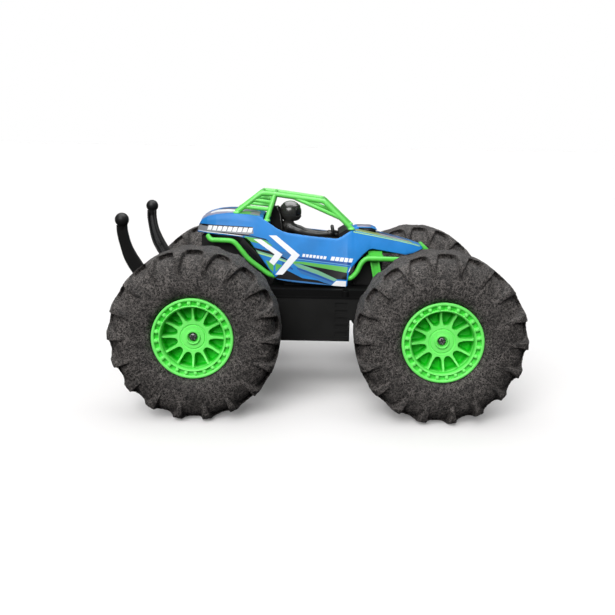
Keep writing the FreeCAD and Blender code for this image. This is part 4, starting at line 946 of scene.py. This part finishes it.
def make_wheelie_arms():
    """Channel-section arms that lean outwards above the tyres' inner faces, with a ball on top."""
    thick = 3.1
    foot_z = 86
    ball_radius = 6.28
    lean = math.radians(8.97)
    back = smooth_curve([(-181.6, 166), (-181.5, 158), (-179.4, 146), (-176.0, 133), (-168.6, 119.4),
                         (-158, 106), (-146, 95.6), (-134.2, 86)], 6)
    front = smooth_curve([(-172.6, 166), (-172.2, 158), (-169.6, 146.8), (-164.8, 136.6), (-158.4, 126.0),
                          (-150.4, 116.0), (-141.6, 107.6), (-130.4, 98.6)], 6)
    # across the bar: (fraction from the back edge, depth from the middle); the trough faces inwards
    section = [(0.07, -1.0), (0.0, -0.72), (0.0, 0.72), (0.07, 1.0), (0.15, 1.0), (0.19, 0.86), (0.23, -0.3),
               (0.34, -0.35), (0.38, 0.2), (0.62, 0.2), (0.66, -0.35), (0.77, -0.3), (0.81, 0.86),
               (0.85, 1.0), (0.93, 1.0), (1.0, 0.72), (1.0, -0.72), (0.93, -1.0)]
    ball = [(ball_radius * math.sin(a) + 1e-4, -ball_radius * math.cos(a))
            for a in np.linspace(0, math.pi, 21)]
    boss = [(0.9, 0.0), (0.9, 2.0), (2.0, 2.0), (2.1, 0.0)]
    for name, side in (("right", -1), ("left", 1)):
        centre = 57.2 * side
        rows = []
        for i, (start, end) in enumerate(zip(back, front)):
            closed_end = i < 3 or i > len(back) - 3
            for t, depth in section:
                x, z = start + (end - start) * t
                filled = closed_end and -0.9 < depth < 1.0 and 0.16 < t < 0.84
                rows.append((x, centre - side * thick * (1.0 if filled else depth), z))
        arm = Assembly().add(rows, skin_faces(len(back), len(section)))
        ball_centre = (-176.8, centre, 170.7)
        arm.lathe([(3.0, -9.5), (3.9, -6.6), (4.5, -4.8)], ball_centre, axis="z", steps=24, closed=False)
        arm.lathe(ball, ball_centre, axis="z", steps=36, closed=False)
        # a screw boss in the trough
        arm.lathe(boss, (-169.0, centre - side * 2.6, 131.0), steps=24)
        c, s = math.cos(lean), math.sin(lean)
        upright = arm.points
        arm.points = []
        for x, y, z in upright:
            out, up = side * (y - centre), z - foot_z
            arm.points.append((x, centre + side * (out * c + up * s), foot_z + up * c - out * s))
        low, high = sorted((36.0 * side, centre))
        arm.box((-134.2, low, 72), (-130.2, high, 98))
        piece = arm.make("wheelie_arm_" + name + "_bar", "arm", replaces=["wheelie_arm_" + name],
                         slot="black_plastic")
        sharpen(piece, 40)


# ------------------------------------------------------------------ driver

def sphere(rows, columns):
    """Points over a ball of radius 1, row by row from the top down."""
    v = np.repeat(np.linspace(0, math.pi, rows), columns)
    u = np.tile(np.linspace(0, 2 * math.pi, columns, endpoint=False), rows)
    return np.stack([np.sin(v) * np.cos(u), np.sin(v) * np.sin(u), np.cos(v)], 1)


def ellipsoid(assembly, centre, radii, steps=28):
    points = sphere(steps + 1, steps) * radii + centre
    assembly.add(points, grid_faces(steps + 1, steps, wrap_columns=True))


def make_helmet():
    """Full-face helmet: crown, chin bar pushed forward, a recessed eye port and a rolled lower edge."""
    centre = (-27.9, 0.0, 172.6)
    stretch = (1.03, 0.93, 1.0)
    rows, columns = 61, 84
    ball = sphere(rows, columns)
    ahead, across, up = ball.T
    chin = np.maximum(ahead, 0.0) ** 2 * smoothstep(0.1, -0.35, up)
    port = smoothstep(0.44, 0.52, ahead) * smoothstep(0.50, 0.42, up) * smoothstep(-0.38, -0.30, up)
    ridge = np.exp(-((np.abs(across) - 0.30) / 0.06) ** 2) * smoothstep(0.25, 0.6, up)
    brow = np.exp(-((up - 0.55) / 0.05) ** 2) * smoothstep(0.35, 0.6, ahead)
    r = 10.7 + 0.7 * chin - 0.9 * smoothstep(-0.72, -0.95, up) - 0.75 * port + 0.3 * ridge + 0.35 * brow
    faces = grid_faces(rows, columns, wrap_columns=True)
    helmet = Assembly().add(ball * r[:, None] * stretch + centre, faces)
    helmet.make("helmet_shell", "helmet", replaces=["driver_helmet"], slot="black_gloss")
    z = np.repeat(np.linspace(-0.36, 0.48, 13), 33)
    u = np.tile(np.linspace(-0.98, 0.98, 33), 13)
    flat = np.sqrt(1 - z * z)
    face = np.stack([flat * np.cos(u), flat * np.sin(u), z], 1) * 10.4
    visor = Assembly().add(face * stretch + centre, grid_faces(13, 33))
    piece = visor.make("helmet_visor", "visor", slot="black_gloss", welded=False)
    skin = piece.modifiers.new("thickness", "SOLIDIFY")
    skin.thickness = 0.5 * MM


def make_driver():
    """Moulded driver: a torso with folds, lofted from hips to collar, and two arms that end at the wheel."""
    # (x, z, depth, half width)
    loft = [(-29.5, 147.4, 6.8, 8.4), (-29.3, 150.5, 7.0, 8.8), (-29.2, 154.5, 7.4, 9.8),
            (-29.4, 158.2, 7.2, 11.0), (-30.0, 161.2, 6.4, 9.4), (-29.8, 163.2, 5.4, 6.2),
            (-29.0, 164.8, 4.6, 4.6), (-28.6, 166.4, 4.4, 4.4)]
    steps = 36
    turn = np.linspace(0, 2 * math.pi, steps, endpoint=False)
    squarish = [np.copysign(np.abs(wave) ** 0.8, wave) for wave in (np.cos(turn), np.sin(turn))]
    rows = []
    for x, z, depth, half in smooth_curve(loft, 4):
        fold = 1 + 0.035 * np.sin(5 * turn + z * 1.3)
        rows.append(np.stack([x + depth * fold * squarish[0], half * fold * squarish[1],
                              np.full(steps, z)], 1))
    torso = Assembly().add(np.concatenate(rows), skin_faces(len(rows), steps))
    for s in (-1, 1):
        ellipsoid(torso, (-28.6, 10.4 * s, 158.4), (4.4, 3.6, 4.2))
        arm = smooth_curve([(-28.4, 11.6 * s, 158.6), (-22, 12.8 * s, 156.2), (-14.5, 12.6 * s, 153.6),
                            (-4, 10.2 * s, 151.6), (8.4, 6.6 * s, 151.8)], 8)
        torso.add(*tube_geometry(arm, 2.7, taper=lambda t: 1.15 - 0.42 * t + 0.07 * math.sin(t * 21)))
        ellipsoid(torso, (10.8, 6.0 * s, 152.4), (2.8, 1.9, 2.3), 18)
    torso.make("driver_figure", "suit", replaces=["driver_torso"], slot="black_plastic")


def make_seat():
    """Bucket seat with raised bolsters, and a piping along its edge."""
    spine = [(-46.6, 154.8), (-46.8, 160), (-46.4, 166), (-46.2, 172), (-45.6, 176.6), (-44, 177.6),
             (-41.6, 177.3), (-40.2, 175), (-39.6, 171), (-38.8, 165), (-37.4, 158), (-37.0, 150.5)]
    outline = smooth_curve(spine, 4)
    half = np.interp(outline[:, 1], [148, 158, 166, 170, 178], [12.6, 13.4, 13.0, 9.6, 8.2])
    count, across = len(outline), 15
    t = np.linspace(-1, 1, across)
    rows = []
    for (x, z), w in zip(outline, half):
        bolster = 2.2 * smoothstep(0.6, 0.95, np.abs(t)) * smoothstep(150, 156, z) * (x > -43.5)
        rows.append(np.stack([x + bolster, t * w, np.full(across, z)], 1))
    last = tuple(range((count - 1) * across, count * across))
    faces = grid_faces(count, across)
    faces += [tuple(range(0, count * across, across)),
              tuple(range(across - 1, count * across, across))[::-1],
              tuple(range(across)) + last[::-1]]
    seat = Assembly().add(np.concatenate(rows), faces)
    sharpen(seat.make("bucket_seat", "lid", replaces=["seat"], slot="black_plastic"), 45)
    edge = [(-35.4, 12.6, 151.5), (-35.8, 13.3, 158), (-36.9, 12.8, 165.5), (-37.9, 9.8, 171),
            (-40.6, 8.4, 176.8)]
    loop = smooth_curve(both(edge)[1] + edge[::-1], 8)
    piping = Assembly().add(*tube_geometry(loop, 0.75, sides=12))
    piping.make("seat_piping", "suit", slot="black_plastic")


def make_steering_wheel():
    """Fat rim, three spokes, a hub and a column, tipped by ten degrees."""
    cx, cz = 13.9, 154.4
    tilt = math.radians(-10)
    c, s = math.cos(tilt), math.sin(tilt)

    def tipped(x, y, z):
        return cx + x * c + z * s, y, cz - x * s + z * c

    rows = []
    for a in np.linspace(0, 2 * math.pi, 40, endpoint=False):
        for b in np.linspace(0, 2 * math.pi, 12, endpoint=False):
            r = 4.7 + 1.6 * math.cos(b)
            rows.append(tipped(1.7 * math.sin(b), r * math.sin(a), r * math.cos(a)))
    wheel = Assembly().add(rows, grid_faces(40, 12, wrap_rows=True, wrap_columns=True))
    for a in (0.0, 2.2, -2.2):
        wheel.tube([(cx, 0, cz), tipped(0, 4.9 * math.sin(a), 4.9 * math.cos(a))], 0.8)
    wheel.tube([(cx, 0, cz), (cx + 4.7, 0, cz - 0.9)], 1.4)
    ellipsoid(wheel, (cx - 0.4, 0, cz), (1.1, 2.0, 2.0), 16)
    wheel.make("steering_wheel_detail", "black", replaces=["steering_wheel"], slot="black_plastic")


# ------------------------------------------------------------------ floor, light, camera

def make_floor():
    """A large pale floor that catches the shadow."""
    n = Nodes("studio_floor")
    n.surface(n.mix(n.remap(n.noise(2.0, 3.0), 0.3, 0.7), (0.735, 0.725, 0.72), (0.75, 0.74, 0.735)),
              n.remap(n.noise(60.0, 4.0), 0.3, 0.7, 0.55, 0.7), Specular_IOR_Level=0.1,
              Emission_Color=(1.0, 0.985, 0.98, 1.0), Emission_Strength=0.14)
    mesh = bpy.data.meshes.new("floor")
    size = 12.0
    mesh.from_pydata([(-size, -size, 0), (size, -size, 0), (size, size, 0), (-size, size, 0)], [],
                     [(0, 1, 2, 3)])
    floor = bpy.data.objects.new("floor", mesh)
    floor.location.z = -0.0002
    floor.visible_diffuse = False
    floor.visible_glossy = False
    mesh.materials.append(n.material)
    bpy.context.scene.collection.objects.link(floor)


def make_world():
    """Plain white behind the car for the camera, and a soft fill light that is stronger from above."""
    world = bpy.data.worlds.new("studio")
    world.use_nodes = True
    tree = world.node_tree
    seen = tree.nodes["Background"]
    fill, aim, split, rise, path, choose = (
        tree.nodes.new("ShaderNode" + kind)
        for kind in ("Background", "TexCoord", "SeparateXYZ", "MapRange", "LightPath", "MixShader"))
    set_inputs(seen, Color=(1.0, 1.0, 1.0, 1.0), Strength=1.0)
    set_inputs(fill, Color=(0.96, 0.98, 1.0, 1.0))
    set_inputs(rise, From_Min=-0.2, From_Max=0.5, To_Min=0.04, To_Max=0.32)
    for source, target in ((aim.outputs["Generated"], split.inputs[0]),
                           (split.outputs["Z"], rise.inputs["Value"]),
                           (rise.outputs["Result"], fill.inputs["Strength"]),
                           (path.outputs["Is Camera Ray"], choose.inputs[0]),
                           (fill.outputs[0], choose.inputs[1]), (seen.outputs[0], choose.inputs[2]),
                           (choose.outputs[0], tree.nodes["World Output"].inputs[0])):
        tree.links.new(source, target)
    bpy.context.scene.world = world


def lamp(name, kind, place, target, energy, **more):
    data = bpy.data.lights.new(name, kind)
    data.energy = energy
    for key, value in more.items():
        setattr(data, key, value)
    light = bpy.data.objects.new(name, data)
    light.location = place
    light.rotation_euler = (Vector(target) - Vector(place)).to_track_quat("-Z", "Y").to_euler()
    bpy.context.scene.collection.objects.link(light)
    return light


def make_lamps():
    lamp("front_key", "SUN", (-0.3, -1.0, 0.72), (0, 0, 0), 3.3, angle=0.7)
    lamp("overhead", "SUN", (-0.05, -0.1, 1.5), (0, 0, 0), 1.2, angle=1.2)
    gloss = lamp("gloss_panel", "AREA", (0, 0.1, 1.3), (0, 0, 0.1), 26.0,
                 shape="RECTANGLE", size=1.6, size_y=1.0)
    gloss.visible_diffuse = False


def make_camera():
    """The fitted viewpoint: about 0.8 m from the car's right side, looking 12 degrees down."""
    data = bpy.data.cameras.new("camera")
    data.sensor_width = 36.0
    data.lens = 48.3
    camera = bpy.data.objects.new("camera", data)
    yaw, pitch, roll = math.radians(-0.35), math.radians(12.1), math.radians(0.93)
    ahead = Vector((math.sin(yaw) * math.cos(pitch), math.cos(yaw) * math.cos(pitch), -math.sin(pitch)))
    right = Vector((math.cos(yaw), -math.sin(yaw), 0.0))
    up = right.cross(ahead)
    c, s = math.cos(roll), math.sin(roll)
    right, up = c * right + s * up, -s * right + c * up
    camera.matrix_world = Matrix((
        (right.x, up.x, -ahead.x, -4.8 * MM),
        (right.y, up.y, -ahead.y, -808.06 * MM),
        (right.z, up.z, -ahead.z, 250.26 * MM),
        (0, 0, 0, 1)))
    bpy.context.scene.collection.objects.link(camera)
    bpy.context.scene.camera = camera


# ------------------------------------------------------------------ CAD nodes that stay

# material and bevel width
CAD_LOOKS = {
    "hull_tub": ("hull", 0.7), "hull_lid": ("lid", 0.5), "battery_door": ("hull", 0.3),
    "front_gear_frame": ("black", 0.3), "rear_gear_frame": ("black", 0.3), "front_tower": ("black", 0.6),
    "rear_tower": ("black", 0.8), "cockpit_tray": ("black", 0.5), "dashboard": ("black", 0.8),
    "front_strut_frame": ("green", 0.5), "hull_screws": ("steel", 0.15), "wheelie_screws": ("steel", 0.15),
    "axle_bushes": ("brass", 0.15), "shaft_seals": ("seal", 0.2), "front_motors": ("steel", 0.4),
    "rear_motors": ("steel", 0.4), "battery_pack": ("wrap", 1.0), "circuit_board": ("board", 0.1),
    "door_gasket": ("seal", 0.0), "power_switch": ("visor", 0.15),
}
for corner in CORNERS:
    CAD_LOOKS["stub_axle_" + corner] = ("steel", 0.15)
    CAD_LOOKS["drive_gear_" + corner] = ("nylon", 0.08)
    CAD_LOOKS["pinion_" + corner] = ("brass", 0.05)


def dress_cad():
    """Materials and soft edges for the CAD nodes that no finer mesh replaces."""
    for name, (look, width) in CAD_LOOKS.items():
        piece = NODES[name]
        piece.data.materials.clear()
        piece.data.materials.append(MATERIALS[look])
        if width:
            bevel(piece, width)


for corner in CORNERS:
    make_tyre(corner)
    make_rim(corner)
    make_ring(corner)
    make_screw(corner)
make_shell()
make_decals()
make_scoop()
make_bumper()
make_liner()
make_cage()
make_side_tubes()
make_wheelie_arms()
make_helmet()
make_driver()
make_seat()
make_steering_wheel()
dress_cad()
make_floor()
make_world()
make_lamps()
make_camera()
bpy.context.scene.view_settings.view_transform = "Standard"
